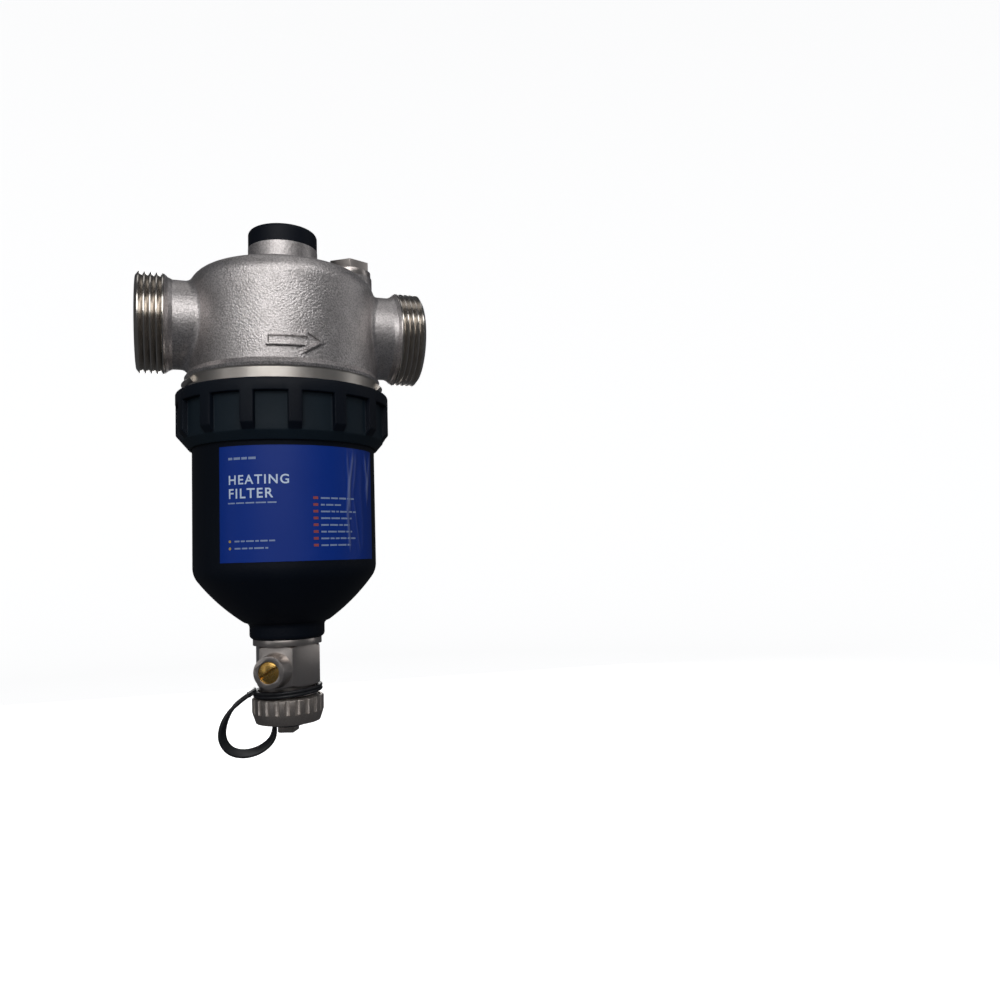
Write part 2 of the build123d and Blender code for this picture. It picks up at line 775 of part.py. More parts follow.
with BuildPart() as bowl:
    with BuildSketch(Plane.XZ):
        with BuildLine():
            Polyline(
                (bowl_r - bowl_wall, flange_top),
                (flange_r, flange_top),
                (flange_r, flange_bottom),
                (bowl_r, flange_bottom),
                (bowl_r, bowl_straight_end),
            )
            TangentArc((bowl_r, bowl_straight_end), corner_end, tangent=(0, -1))
            TangentArc(corner_end, (bowl_neck_r, bowl_neck_top), tangent=(-dome_z, -dome_x))
            Line((bowl_neck_r, bowl_neck_top), (bowl_neck_r, bowl_neck_bottom + bowl_neck_edge))
            RadiusArc(
                (bowl_neck_r, bowl_neck_bottom + bowl_neck_edge),
                (bowl_neck_r - bowl_neck_edge, bowl_neck_bottom),
                bowl_neck_edge,
            )
            Polyline(
                (bowl_neck_r - bowl_neck_edge, bowl_neck_bottom),
                (bowl_bore_r, bowl_neck_bottom),
                (bowl_bore_r, bore_top),
            )
            TangentArc(inner_corner_end, (bowl_bore_r, bore_top), tangent=(-dome_z, -dome_x))
            TangentArc((bowl_r - bowl_wall, bowl_straight_end), inner_corner_end, tangent=(0, -1))
            Line((bowl_r - bowl_wall, bowl_straight_end), (bowl_r - bowl_wall, flange_top))
        make_face()
    revolve(axis=Axis.Z)
    with BuildSketch(Plane.XY.offset(flange_top - gasket_groove)):
        Circle(gasket_inner_r + gasket_width)
        Circle(gasket_inner_r, mode=Mode.SUBTRACT)
    extrude(amount=gasket_groove, mode=Mode.SUBTRACT)
    with BuildSketch(Plane.XY.offset(bowl_neck_bottom)):
        Circle(bowl_bore_r + drain_washer_width)
    extrude(amount=drain_washer_height, mode=Mode.SUBTRACT)
bowl.part.label = "bowl"
export_step(bowl.part, "parts/bowl.step")

with BuildPart() as rim_gasket:
    with BuildSketch(Plane.XY.offset(flange_top - gasket_groove)):
        Circle(gasket_inner_r + gasket_width - seat_gap)
        Circle(gasket_inner_r + seat_gap, mode=Mode.SUBTRACT)
    extrude(amount=gasket_groove + flange_gap)
rim_gasket.part.label = "rim_gasket"
export_step(rim_gasket.part, "parts/rim_gasket.step")

label_bottom = bowl_straight_end + label_margin
label_height = ring_bottom - label_drop - label_bottom

with BuildPart() as label:
    with BuildSketch(Plane.XY.offset(label_bottom)):
        add(sector(bowl_r, bowl_r + label_thickness, label_start, label_sweep))
    extrude(amount=label_height)
label.part.label = "label"
export_step(label.part, "parts/label.step")

# === Drain valve, screwed into the bowl's neck ==============================================================

seat_outer = ball_r + seat_back
seat_bore_r = ball_bore_r + seat_lap
cavity_r = ball_r + cavity_gap
drain_hex = 2 * (cavity_r + cavity_wall)
hex_corner_r = drain_hex / sqrt(3)
collar_bottom = bowl_neck_bottom - collar_height
cavity_top = collar_bottom - drain_roof
ball_z = cavity_top - seat_outer
retainer_top = ball_z - seat_outer
drain_hex_bottom = collar_bottom - drain_hex_height
drain_tail_top = bowl_neck_bottom + drain_tail_length
hose_relief_r = cavity_r + hose_wall
hose_thread_r = hose_relief_r + hose_thread_rise
hose_thread_top = drain_hex_bottom - hose_relief
hose_end = hose_thread_top - hose_thread_length
boss_end = ball_r + boss_reach
boss_x = cos(radians(boss_turn))
boss_y = sin(radians(boss_turn))
boss_plane = Plane((0, 0, ball_z), x_dir=(-boss_y, boss_x, 0), z_dir=(boss_x, boss_y, 0))
bore_axis = boss_plane.x_dir * cos(radians(spindle_rest_turn)) + Vector(0, 0, sin(radians(spindle_rest_turn)))
ball_plane = Plane((0, 0, ball_z), x_dir=boss_plane.z_dir, z_dir=bore_axis)
tongue_turn = spindle_rest_turn + 90
spindle_bore_r = spindle_r + run_gap
boss_end_r = spindle_r + boss_wall

with BuildPart() as hex_block:
    with BuildSketch(Plane.XY.offset(drain_hex_bottom)):
        RegularPolygon(drain_hex / 2, 6, major_radius=False, rotation=drain_hex_turn)
    extrude(amount=collar_bottom - drain_hex_bottom)
    with BuildSketch(Plane.XZ):
        with BuildLine():
            Polyline(
                (0, collar_bottom),
                (hex_corner_r - 2 * hex_edge, collar_bottom),
                (hex_corner_r, collar_bottom - hex_edge),
                (hex_corner_r, drain_hex_bottom + hex_edge),
                (hex_corner_r - 2 * hex_edge, drain_hex_bottom),
                (0, drain_hex_bottom),
                close=True,
            )
        make_face()
    revolve(axis=Axis.Z, mode=Mode.INTERSECT)

with BuildPart() as drain_body:
    with BuildSketch(Plane.XZ):
        with BuildLine():
            Polyline(
                (0, drain_tail_top),
                (drain_tail_r - spigot_chamfer, drain_tail_top),
                (drain_tail_r, drain_tail_top - spigot_chamfer),
                (drain_tail_r, bowl_neck_bottom),
                (hex_corner_r, bowl_neck_bottom),
                (hex_corner_r, collar_bottom),
                (hose_relief_r, collar_bottom),
                (hose_relief_r, hose_thread_top + hose_thread_r - hose_relief_r),
                (hose_thread_r, hose_thread_top),
                (hose_thread_r, hose_end + spigot_chamfer),
                (hose_thread_r - spigot_chamfer, hose_end),
                (0, hose_end),
                close=True,
            )
        make_face()
    revolve(axis=Axis.Z)
    with BuildSketch(Plane.XZ):
        add(groove_sketch(hose_thread_r, hose_thread_r - hose_groove_depth, hose_pitch, hose_turns, hose_thread_top))
    revolve(axis=Axis.Z, mode=Mode.SUBTRACT)
    add(hex_block.part)
    with BuildSketch(boss_plane.offset(ball_r)):
        Circle(boss_end_r + boss_flare)
    with BuildSketch(boss_plane.offset(boss_end)):
        Circle(boss_end_r)
    loft()
    with BuildSketch(Plane.XY.offset(bowl_neck_bottom)):
        Circle(drain_tail_bore_r)
    extrude(amount=drain_tail_top - bowl_neck_bottom, mode=Mode.SUBTRACT)
    with BuildSketch(Plane.XY.offset(cavity_top)):
        Circle(seat_bore_r)
    extrude(amount=bowl_neck_bottom - cavity_top, mode=Mode.SUBTRACT)
    with BuildSketch(Plane.XY.offset(hose_end)):
        Circle(cavity_r)
    extrude(amount=cavity_top - hose_end, mode=Mode.SUBTRACT)
    with BuildSketch(boss_plane.offset(ball_r / 2)):
        Circle(spindle_bore_r)
    extrude(amount=boss_end, mode=Mode.SUBTRACT)
drain_body.part.label = "drain_body"
export_step(drain_body.part, "parts/drain_body.step")

with BuildPart() as drain_washer:
    with BuildSketch(Plane.XY.offset(bowl_neck_bottom)):
        Circle(bowl_bore_r + drain_washer_width - seat_gap)
        Circle(drain_tail_r + seat_gap, mode=Mode.SUBTRACT)
    extrude(amount=drain_washer_height)
drain_washer.part.label = "drain_washer"
export_step(drain_washer.part, "parts/drain_washer.step")

with BuildPart() as ball_seats:
    with BuildSketch(Plane.XY.offset(cavity_top - seat_height)):
        Circle(cavity_r - seat_gap)
        Circle(seat_bore_r, mode=Mode.SUBTRACT)
    extrude(amount=seat_height)
    with BuildSketch(Plane.XY.offset(retainer_top)):
        Circle(cavity_r - seat_gap)
        Circle(seat_bore_r, mode=Mode.SUBTRACT)
    extrude(amount=seat_height)
    with Locations((0, 0, ball_z)):
        Sphere(ball_r + run_gap, mode=Mode.SUBTRACT)
ball_seats.part.label = "ball_seats"
export_step(ball_seats.part, "parts/ball_seats.step")

with BuildPart() as seat_retainer:
    with BuildSketch(Plane.XY.offset(retainer_top - retainer_height)):
        Circle(cavity_r - seat_gap)
        Circle(retainer_bore_r, mode=Mode.SUBTRACT)
    extrude(amount=retainer_height)
    with BuildSketch(Plane.XY.offset(retainer_top - retainer_height)):
        Rectangle(2 * cavity_r, tongue_thickness)
    extrude(amount=spindle_slot_depth, mode=Mode.SUBTRACT)
seat_retainer.part.label = "seat_retainer"
export_step(seat_retainer.part, "parts/seat_retainer.step")

with BuildPart() as drain_ball:
    with Locations((0, 0, ball_z)):
        Sphere(ball_r)
    with BuildSketch(ball_plane.offset(-ball_r)):
        Circle(ball_bore_r)
    extrude(amount=2 * ball_r, mode=Mode.SUBTRACT)
    with BuildSketch(boss_plane.offset(ball_r - tongue_depth)):
        with Locations(Location((0, 0), tongue_turn)):
            Rectangle(2 * ball_r, tongue_thickness + 2 * seat_gap)
    extrude(amount=ball_r, mode=Mode.SUBTRACT)
drain_ball.part.label = "drain_ball"
export_step(drain_ball.part, "parts/drain_ball.step")

spindle_start = ball_r + slip_gap
spindle_end = boss_end - spindle_recess
spindle_ring_at = (cavity_r + boss_end) / 2

with BuildPart() as drain_spindle:
    with BuildSketch(boss_plane.offset(spindle_start)):
        Circle(spindle_r)
    extrude(amount=spindle_end - spindle_start)
    with BuildSketch(boss_plane.offset(ball_r - tongue_depth + seat_gap)):
        with Locations(Location((0, 0), tongue_turn)):
            Rectangle(tongue_width, tongue_thickness)
    extrude(amount=spindle_start - ball_r + tongue_depth - seat_gap)
    with BuildSketch(boss_plane.offset(spindle_ring_at - spindle_ring_r - seat_gap)):
        Circle(spindle_r)
        Circle(spindle_r - 2 * spindle_ring_r - seat_gap, mode=Mode.SUBTRACT)
    extrude(amount=2 * (spindle_ring_r + seat_gap), mode=Mode.SUBTRACT)
    with BuildSketch(boss_plane.offset(spindle_end - spindle_slot_depth)):
        with Locations(Location((0, 0), spindle_rest_turn)):
            Rectangle(3 * spindle_r, spindle_slot)
    extrude(amount=spindle_slot_depth, mode=Mode.SUBTRACT)
drain_spindle.part.label = "drain_spindle"
export_step(drain_spindle.part, "parts/drain_spindle.step")

with BuildPart() as spindle_oring:
    with BuildSketch(Plane(boss_plane.offset(spindle_ring_at).origin, x_dir=boss_plane.z_dir, z_dir=boss_plane.x_dir)):
        with Locations((0, spindle_r - spindle_ring_r)):
            Circle(spindle_ring_r)
    revolve(axis=Axis(boss_plane.origin, boss_plane.z_dir))
spindle_oring.part.label = "spindle_oring"
export_step(spindle_oring.part, "parts/spindle_oring.step")

# === Hose end cap, its gasket and its strap =====================================================================

cap_bore_r = hose_thread_r + slip_gap
cap_floor_z = hose_end - cap_gasket_height - seat_gap
drain_cap_top = hose_thread_top + drain_cap_gap
drain_cap_bottom = cap_floor_z - drain_cap_floor
drain_cap_r = cap_bore_r + drain_cap_wall
skirt_z = drain_cap_top - drain_cap_skirt
stub_bottom = drain_cap_bottom - stub_height

with BuildPart() as drain_cap:
    with BuildSketch(Plane.XZ):
        with BuildLine():
            Polyline(
                (0, drain_cap_top),
                (drain_cap_r - flute_depth, drain_cap_top),
                (drain_cap_r, drain_cap_top - flute_depth),
                (drain_cap_r, skirt_z),
                (drain_cap_r - drain_cap_taper, drain_cap_bottom),
                (0, drain_cap_bottom),
                close=True,
            )
        make_face()
    revolve(axis=Axis.Z)
    with BuildSketch(Plane.XY.offset(skirt_z)):
        with PolarLocations(drain_cap_r + flute_r - flute_depth, flute_count):
            Circle(flute_r)
    extrude(amount=drain_cap_skirt, mode=Mode.SUBTRACT)
    with BuildSketch(Plane.XY.offset(cap_floor_z)):
        Circle(cap_bore_r)
    extrude(amount=drain_cap_top - cap_floor_z, mode=Mode.SUBTRACT)
    with BuildSketch(Plane.XZ):
        add(groove_sketch(cap_bore_r, cap_bore_r + drain_cap_groove, hose_pitch, hose_turns, hose_thread_top))
    revolve(axis=Axis.Z, mode=Mode.SUBTRACT)
    with BuildSketch(Plane.XY.offset(drain_cap_bottom - stub_neck)):
        Circle(stub_neck_r)
    extrude(amount=stub_neck)
    with BuildSketch(Plane.XY.offset(stub_bottom)):
        with Locations(Location((0, 0), stub_turn - 45)):
            Rectangle(stub_square, stub_square)
    extrude(amount=drain_cap_bottom - stub_neck - stub_bottom)
    chamfer(drain_cap.edges().group_by(Axis.Z)[0], stub_chamfer)
drain_cap.part.label = "drain_cap"
export_step(drain_cap.part, "parts/drain_cap.step")

with BuildPart() as cap_gasket:
    with BuildSketch(Plane.XY.offset(cap_floor_z)):
        Circle(hose_thread_r)
        Circle(cavity_r, mode=Mode.SUBTRACT)
    extrude(amount=cap_gasket_height)
cap_gasket.part.label = "cap_gasket"
export_step(cap_gasket.part, "parts/cap_gasket.step")

eye_top = drain_cap_bottom - eye_gap
eye_bottom = eye_top - eye_height
strap_route.append((strap_route[-1][0], eye_bottom))
start_run = Vector(strap_route[1][0] - strap_route[0][0], 0, strap_route[1][1] - strap_route[0][1])
strap_start = Plane((strap_route[0][0], 0, strap_route[0][1]), x_dir=(0, 1, 0), z_dir=start_run)
tilt = radians(strap_ring_tilt)
strap_ring_z = (drain_hex_bottom + drain_cap_top) / 2
strap_ring_bore_r = hose_relief_r + 2 * slip_gap
ring_plane = Plane((0, 0, strap_ring_z), x_dir=(cos(tilt), 0, sin(tilt)), z_dir=(-sin(tilt), 0, cos(tilt)))

with BuildPart() as strap_ring:
    with BuildSketch(ring_plane.offset(-strap_ring_height / 2)):
        Circle(strap_ring_bore_r + strap_ring_wall)
    extrude(amount=strap_ring_height)
    with BuildSketch(strap_start):
        Rectangle(strap_width, strap_thickness)
    extrude(amount=-strap_tab)
    with BuildSketch(ring_plane.offset(-strap_ring_height)):
        Circle(strap_ring_bore_r)
    extrude(amount=2 * strap_ring_height, mode=Mode.SUBTRACT)
strap_ring.part.label = "strap_ring"
export_step(strap_ring.part, "parts/strap_ring.step")

with BuildPart() as strap_band:
    with BuildLine(Plane.XZ) as strap_path:
        FilletPolyline(*strap_route, radius=bend_radii(strap_route))
    with BuildSketch(strap_start):
        Rectangle(strap_width, strap_thickness)
    sweep(path=strap_path.wires()[0])
strap_band.part.label = "strap_band"
export_step(strap_band.part, "parts/strap_band.step")
print("strap bend radii", [round(radius, 1) for radius in bend_radii(strap_route)])
print("strap length", round(strap_path.wires()[0].length, 1), "from its volume",
      round(strap_band.part.volume / strap_width / strap_thickness, 1))

with BuildPart() as strap_eye:
    with BuildSketch(Plane.XY.offset(eye_bottom)):
        Circle(eye_r)
        Circle(stub_neck_r + slip_gap, mode=Mode.SUBTRACT)
    extrude(amount=eye_height)
strap_eye.part.label = "strap_eye"
export_step(strap_eye.part, "parts/strap_eye.step")
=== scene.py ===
"""A magnetic system filter for heating pipework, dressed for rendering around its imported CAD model."""
import logging
import math
import random
from dataclasses import dataclass
from enum import Enum
from typing import Callable, Optional, Sequence, Union

import bmesh
import bpy
from mathutils import Matrix, Vector


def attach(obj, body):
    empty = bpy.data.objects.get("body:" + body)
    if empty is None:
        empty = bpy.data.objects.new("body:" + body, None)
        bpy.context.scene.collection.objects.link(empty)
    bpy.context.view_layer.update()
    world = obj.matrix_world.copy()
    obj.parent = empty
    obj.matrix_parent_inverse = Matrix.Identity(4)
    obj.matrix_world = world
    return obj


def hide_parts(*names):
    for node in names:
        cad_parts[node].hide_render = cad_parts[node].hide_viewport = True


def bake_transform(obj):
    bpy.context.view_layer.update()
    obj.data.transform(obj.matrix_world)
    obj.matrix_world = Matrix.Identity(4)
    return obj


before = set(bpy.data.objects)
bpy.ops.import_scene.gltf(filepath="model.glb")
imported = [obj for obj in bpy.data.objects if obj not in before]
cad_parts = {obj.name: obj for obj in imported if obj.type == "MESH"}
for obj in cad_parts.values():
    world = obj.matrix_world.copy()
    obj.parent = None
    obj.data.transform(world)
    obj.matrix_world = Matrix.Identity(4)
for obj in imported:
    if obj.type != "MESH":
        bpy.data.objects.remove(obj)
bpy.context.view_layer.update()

MM = 0.001
GRAIN_ROUGHNESS = 0.55
CELL_SMOOTHNESS = 0.6
LOG = logging.getLogger("system_filter")
Colour = tuple[float, float, float]
Point2 = tuple[float, float]


# === Shader maths =====================================================================================


class Shade:
    """An output socket of a material that Python arithmetic works on."""

    def __init__(self, coat: "Coat", socket: bpy.types.NodeSocket) -> None:
        """Keeps the socket and the coat whose tree it is in."""
        self.coat = coat
        self.socket = socket

    def math(self, operation: str, first: object, second: object = 0.0) -> "Shade":
        """Adds one Math node.

        Args:
            operation: The node's operation.
            first: Its first value or shade.
            second: Its second value or shade.

        Returns:
            The node's value.
        """
        return self.coat.node("ShaderNodeMath", {"operation": operation}, {0: first, 1: second})

    def __add__(self, other: object) -> "Shade":
        """Adds."""
        return self.math("ADD", self, other)

    __radd__ = __add__

    def __sub__(self, other: object) -> "Shade":
        """Subtracts."""
        return self.math("SUBTRACT", self, other)

    def __rsub__(self, other: object) -> "Shade":
        """Subtracts this from a number."""
        return self.math("SUBTRACT", other, self)

    def __mul__(self, other: object) -> "Shade":
        """Multiplies."""
        return self.math("MULTIPLY", self, other)

    __rmul__ = __mul__

    def __truediv__(self, other: object) -> "Shade":
        """Divides."""
        return self.math("DIVIDE", self, other)

    def __pow__(self, other: object) -> "Shade":
        """Raises to a power."""
        return self.math("POWER", self, other)

    def __abs__(self) -> "Shade":
        """Drops the sign."""
        return self.math("ABSOLUTE", self)

    def most(self, other: object) -> "Shade":
        """The larger of the two."""
        return self.math("MAXIMUM", self, other)

    def sine(self) -> "Shade":
        """The sine of this value in radians."""
        return self.math("SINE", self)

    def ease(self, low: float, high: float, start: float = 0.0, end: float = 1.0) -> "Shade":
        """Eases from one value to another.

        Args:
            low: This value where the result is start.
            high: This value where the result is end.
            start: The result at and before low.
            end: The result at and after high.

        Returns:
            The eased value.
        """
        values = {"Value": self, "From Min": low, "From Max": high, "To Min": start, "To Max": end}
        return self.coat.node("ShaderNodeMapRange", {"interpolation_type": "SMOOTHSTEP"}, values)


class Coat:
    """A material being painted: a Principled shader and one way to add any other node."""

    def __init__(self, name: str) -> None:
        """Starts a material of that name."""
        self.material = bpy.data.materials.new(name)
        self.material.use_nodes = True
        self.tree = self.material.node_tree
        self.shader = next(n for n in self.tree.nodes if n.type == "BSDF_PRINCIPLED")

    def node(
        self,
        kind: str,
        settings: Optional[dict[str, object]] = None,
        values: Optional[dict[Union[str, int], object]] = None,
        output: Union[str, int] = 0,
    ) -> Shade:
        """Adds a node.

        Args:
            kind: The node's type.
            settings: The node's own properties, set first.
            values: Numbers, colours or shades for its sockets.
            output: The socket that comes out.

        Returns:
            The chosen output.
        """
        node = self.tree.nodes.new(kind)
        for name, value in (settings or {}).items():
            setattr(node, name, value)
        for name, value in (values or {}).items():
            self.feed(node.inputs[name], value)
        return Shade(self, node.outputs[output])

    def feed(self, socket: bpy.types.NodeSocket, value: object) -> None:
        """Links a shade to a socket, or sets the socket's number or colour.

        Args:
            socket: The socket.
            value: The shade, number or colour.
        """
        if isinstance(value, Shade):
            self.tree.links.new(value.socket, socket)
        elif isinstance(value, tuple) and socket.type == "RGBA":
            socket.default_value = (*value, 1.0)
        else:
            socket.default_value = value

    def place(self) -> Shade:
        """The point on the object, in metres."""
        return self.node("ShaderNodeTexCoord", output="Object")

    def axes(self) -> tuple[Shade, Shade, Shade]:
        """The point's X, Y and Z."""
        split = self.node("ShaderNodeSeparateXYZ", values={"Vector": self.place()}).socket.node
        return tuple(Shade(self, socket) for socket in split.outputs)

    def stretched(self, scale: Colour) -> Shade:
        """The point, scaled along each axis."""
        return self.node("ShaderNodeVectorMath", {"operation": "MULTIPLY"}, {0: self.place(), 1: scale})

    def grain(self, size_mm: float, detail: float = 2.0, stretch: Colour = (1.0, 1.0, 1.0)) -> Shade:
        """Soft random cells about size_mm across, from 0 to 1."""
        values = {"Vector": self.stretched(stretch), "Scale": 1 / (size_mm * MM), "Detail": detail}
        return self.node("ShaderNodeTexNoise", values={**values, "Roughness": GRAIN_ROUGHNESS})

    def cells(self, size_mm: float) -> Shade:
        """The distance to the nearest of random points about size_mm apart."""
        values = {"Vector": self.place(), "Scale": 1 / (size_mm * MM), "Smoothness": CELL_SMOOTHNESS}
        return self.node("ShaderNodeTexVoronoi", {"feature": "SMOOTH_F1"}, values, "Distance")

    def mix(self, factor: object, first: object, second: object) -> Shade:
        """Mixes two colours by a factor."""
        return self.node("ShaderNodeMix", {"data_type": "RGBA"}, {0: factor, 6: first, 7: second}, 2)

    def wear(
        self,
        colour: object,
        roughness: object,
        height: Optional[Shade] = None,
        height_mm: float = 0.05,
        metallic: object = 0.0,
        **constants: Union[float, Colour],
    ) -> bpy.types.Material:
        """Puts a finish on the shader.

        Args:
            colour: The base colour.
            roughness: The roughness.
            height: The bump's height, from 0 to 1.
            height_mm: What a height of 1 stands for.
            metallic: 1 for a metal.
            constants: Other sockets of the shader, by name with underscores.

        Returns:
            The finished material.
        """
        self.feed(self.shader.inputs["Base Color"], colour)
        self.feed(self.shader.inputs["Roughness"], roughness)
        self.feed(self.shader.inputs["Metallic"], metallic)
        if height is not None:
            self.feed(self.shader.inputs["Normal"], self.bump(height, height_mm))
        for name, value in constants.items():
            self.feed(self.shader.inputs[name.replace("_", " ")], value)
        return self.material

    def bump(self, height: Shade, height_mm: float) -> Shade:
        """A Bump node's normal for a height whose 1 is height_mm."""
        values = {"Height": height, "Distance": height_mm * MM, "Strength": 1.0}
        return self.node("ShaderNodeBump", values=values)


# === Finishes =========================================================================================


@dataclass(frozen=True)
class CastNickel:
    """Blasted cast nickel, with bright turned threads and a bright turned band under the barrel, and painted
    light: the cast is painted lighter on its front and back and darker at its sides.
    """

    name: str = "cast_nickel"
    light: Colour = (0.80, 0.755, 0.745)
    dark: Colour = (0.47, 0.44, 0.43)
    turned: Colour = (0.74, 0.70, 0.65)
    stained: Colour = (0.60, 0.55, 0.50)
    thread_from_mm: float = 48.6
    band_below_mm: float = 23.9
    grain_mm: float = 0.66
    lathe_mm: float = 0.16
    bump_mm: float = 0.19

    def paint(self) -> bpy.types.Material:
        """Makes the material.

        Returns:
            The finished material.
        """
        coat = Coat(self.name)
        x, y, z = coat.axes()
        thread = abs(x).ease(self.thread_from_mm * MM, (self.thread_from_mm + 0.4) * MM)
        band = (0.0 - z).ease(self.band_below_mm * MM, (self.band_below_mm + 0.25) * MM)
        bright = thread.most(band)
        patches = coat.grain(19.0, 2.0).ease(0.36, 0.62)
        # Painted light: this mask rises with |y|, so the front and back of the barrel are painted lighter and
        # its sides darker. The grain's bump is also stronger there.
        painted_front_light = abs(y).ease(0.012, 0.034)
        patches_and_front_light = patches * 0.45 + painted_front_light * 0.55
        beads = coat.grain(self.grain_mm, 2.5)
        pits = coat.cells(self.grain_mm * 1.35)
        skin = (beads * 0.7 + pits * 0.5) * (0.45 + patches_and_front_light * 0.75)
        per_metre = 2 * math.pi / (self.lathe_mm * MM)
        lathe = (x * per_metre).sine() * thread + (z * per_metre).sine() * band
        height = skin * (1.0 - bright) + lathe * 0.008 * bright
        clouds = coat.grain(6.0, 3.0).ease(0.3, 0.7)
        # The tone mixes random grain and patches with the painted front light, so the cast colour is lighter on
        # the front and back.
        tone = beads.ease(0.40, 0.58) * (0.36 + patches_and_front_light * 0.44) + clouds * 0.25 + patches * 0.20
        cast = coat.mix(tone, self.dark, self.light)
        colour = coat.mix(bright, cast, coat.mix(coat.grain(5.0), self.turned, self.stained))
        matt = 0.34 + beads * 0.12 + coat.grain(9.0) * 0.10
        shine = 0.13 + coat.grain(1.2, 3.0) * 0.16
        roughness = matt * (1.0 - bright) + (shine + band * 0.16) * bright
        return coat.wear(colour, roughness, height, self.bump_mm, 1.0)


@dataclass(frozen=True)
class PlatedNickel:
    """Nickel plate over brass: satin flats, bright turned rings, and a blasted skirt where it is cast."""

    name: str = "machined_nickel"
    plate: Colour = (0.66, 0.605, 0.57)
    warm: Colour = (0.50, 0.445, 0.40)
    cast_below_mm: float = -158.2
    grain_mm: float = 0.55
    bump_mm: float = 0.075

    def paint(self) -> bpy.types.Material:
        """Makes the material.

        Returns:
            The finished material.
        """
        coat = Coat(self.name)
        z = coat.axes()[2]
        cast = z.ease((self.cast_below_mm - 0.1) * MM, (self.cast_below_mm - 0.3) * MM)
        beads = coat.grain(self.grain_mm, 2.5)
        clouds = coat.grain(6.0, 3.0).ease(0.32, 0.68)
        lathe = coat.grain(0.25, 1.0, (0.05, 0.05, 1.0))
        height = (beads + coat.cells(0.7) * 0.5) * cast + lathe * 0.03 * (1.0 - cast)
        warmth = clouds * 0.20 + (0.35 + beads.ease(0.35, 0.65) * 0.45) * cast
        colour = coat.mix(warmth, self.plate, self.warm)
        roughness = 0.30 + clouds * 0.05 + coat.grain(1.0) * 0.03 + cast * 0.12
        return coat.wear(colour, roughness, height, self.bump_mm, 1.0)


@dataclass(frozen=True)
class MouldedPlastic:
    """Filled black plastic from a spark-textured mould, rubbed a little smoother on its proud faces."""

    name: str
    body: Colour
    floor: Colour
    floor_inside_mm: float = 0.0
    roughness: float = 0.46
    texture_mm: float = 0.22
    bump_mm: float = 0.012
    specular: float = 0.22

    def paint(self) -> bpy.types.Material:
        """Makes the material.

        Returns:
            The finished material.
        """
        coat = Coat(self.name)
        x, y, z = coat.axes()
        radius = (x * x + y * y) ** 0.5
        floor = radius.ease((self.floor_inside_mm + 0.2) * MM, (self.floor_inside_mm - 0.1) * MM)
        flow = coat.grain(14.0, 3.0, (1.0, 1.0, 0.35)).ease(0.3, 0.7)
        texture = coat.grain(self.texture_mm, 2.0)
        scuffs = coat.grain(0.5, 3.0, (1.0, 1.0, 0.04)).ease(0.60, 0.74)
        colour = coat.mix(floor * 0.8 + flow * 0.2, self.body, self.floor)
        roughness = self.roughness + texture * 0.10 + flow * 0.06 - scuffs * 0.05 + floor * 0.04
        height = texture + scuffs * 0.15
        return coat.wear(colour, roughness, height, self.bump_mm, Specular_IOR_Level=self.specular)


@dataclass(frozen=True)
class TurnedMetal:
    """A turned or drawn metal, with fine rings round its axis and a little tarnish."""

    name: str
    fresh: Colour
    tarnished: Colour
    roughness: float = 0.2
    ring_mm: float = 0.2
    axis: Colour = (0.0, 0.0, 1.0)

    def paint(self) -> bpy.types.Material:
        """Makes the material.

        Returns:
            The finished material.
        """
        coat = Coat(self.name)
        ends = {0: coat.place(), 1: self.axis}
        along = coat.node("ShaderNodeVectorMath", {"operation": "DOT_PRODUCT"}, ends, "Value")
        rings = (along * (2 * math.pi / (self.ring_mm * MM))).sine() * 0.5 + 0.5
        stains = coat.grain(2.4, 4.0).ease(0.38, 0.66)
        marks = coat.grain(0.3, 2.0)
        colour = coat.mix(stains * 0.7, self.fresh, self.tarnished)
        roughness = self.roughness + stains * 0.12 + marks * 0.08
        return coat.wear(colour, roughness, rings * 0.4 + marks * 0.6, 0.008, 1.0)


@dataclass(frozen=True)
class SoftSkin:
    """Rubber, fibre, nylon or PTFE: a matt skin with a fine tooth and faint patches of bloom."""

    name: str
    body: Colour
    bloom: Colour
    roughness: float = 0.5
    tooth_mm: float = 0.25
    depth_mm: float = 0.02

    def paint(self) -> bpy.types.Material:
        """Makes the material.

        Returns:
            The finished material.
        """
        coat = Coat(self.name)
        tooth = coat.grain(self.tooth_mm, 3.0)
        bloom = coat.grain(3.5, 3.0).ease(0.42, 0.72)
        colour = coat.mix(bloom * 0.6 + tooth * 0.2, self.body, self.bloom)
        roughness = self.roughness + bloom * 0.12 + tooth * 0.06
        return coat.wear(colour, roughness, tooth, self.depth_mm)


@dataclass(frozen=True)
class WovenSteel:
    """Plain-woven stainless wire cloth round a vertical cylinder."""

    name: str = "mesh_steel"
    radius_mm: float = 25.7
    pitch_mm: float = 0.8
    steel: Colour = (0.58, 0.56, 0.54)
    shadow: Colour = (0.12, 0.11, 0.10)

    def paint(self) -> bpy.types.Material:
        """Makes the material.

        Returns:
            The finished material.
        """
        coat = Coat(self.name)
        x, y, z = coat.axes()
        turn = coat.node("ShaderNodeMath", {"operation": "ARCTAN2"}, {0: y, 1: x})
        count = round(math.pi * self.radius_mm / self.pitch_mm)
        warp = (turn * count).sine()
        weft = (z * (math.pi / (self.pitch_mm * MM))).sine()
        wires = abs(warp).most(abs(weft))
        weave = abs(warp * weft)
        solid = wires.ease(0.55, 0.70)
        colour = coat.mix(solid, self.shadow, self.steel)
        material = coat.wear(colour, 0.28 + coat.grain(0.5) * 0.15, wires - weave * 0.5, 0.12, 1.0)
        coat.feed(coat.shader.inputs["Alpha"], solid)
        return material


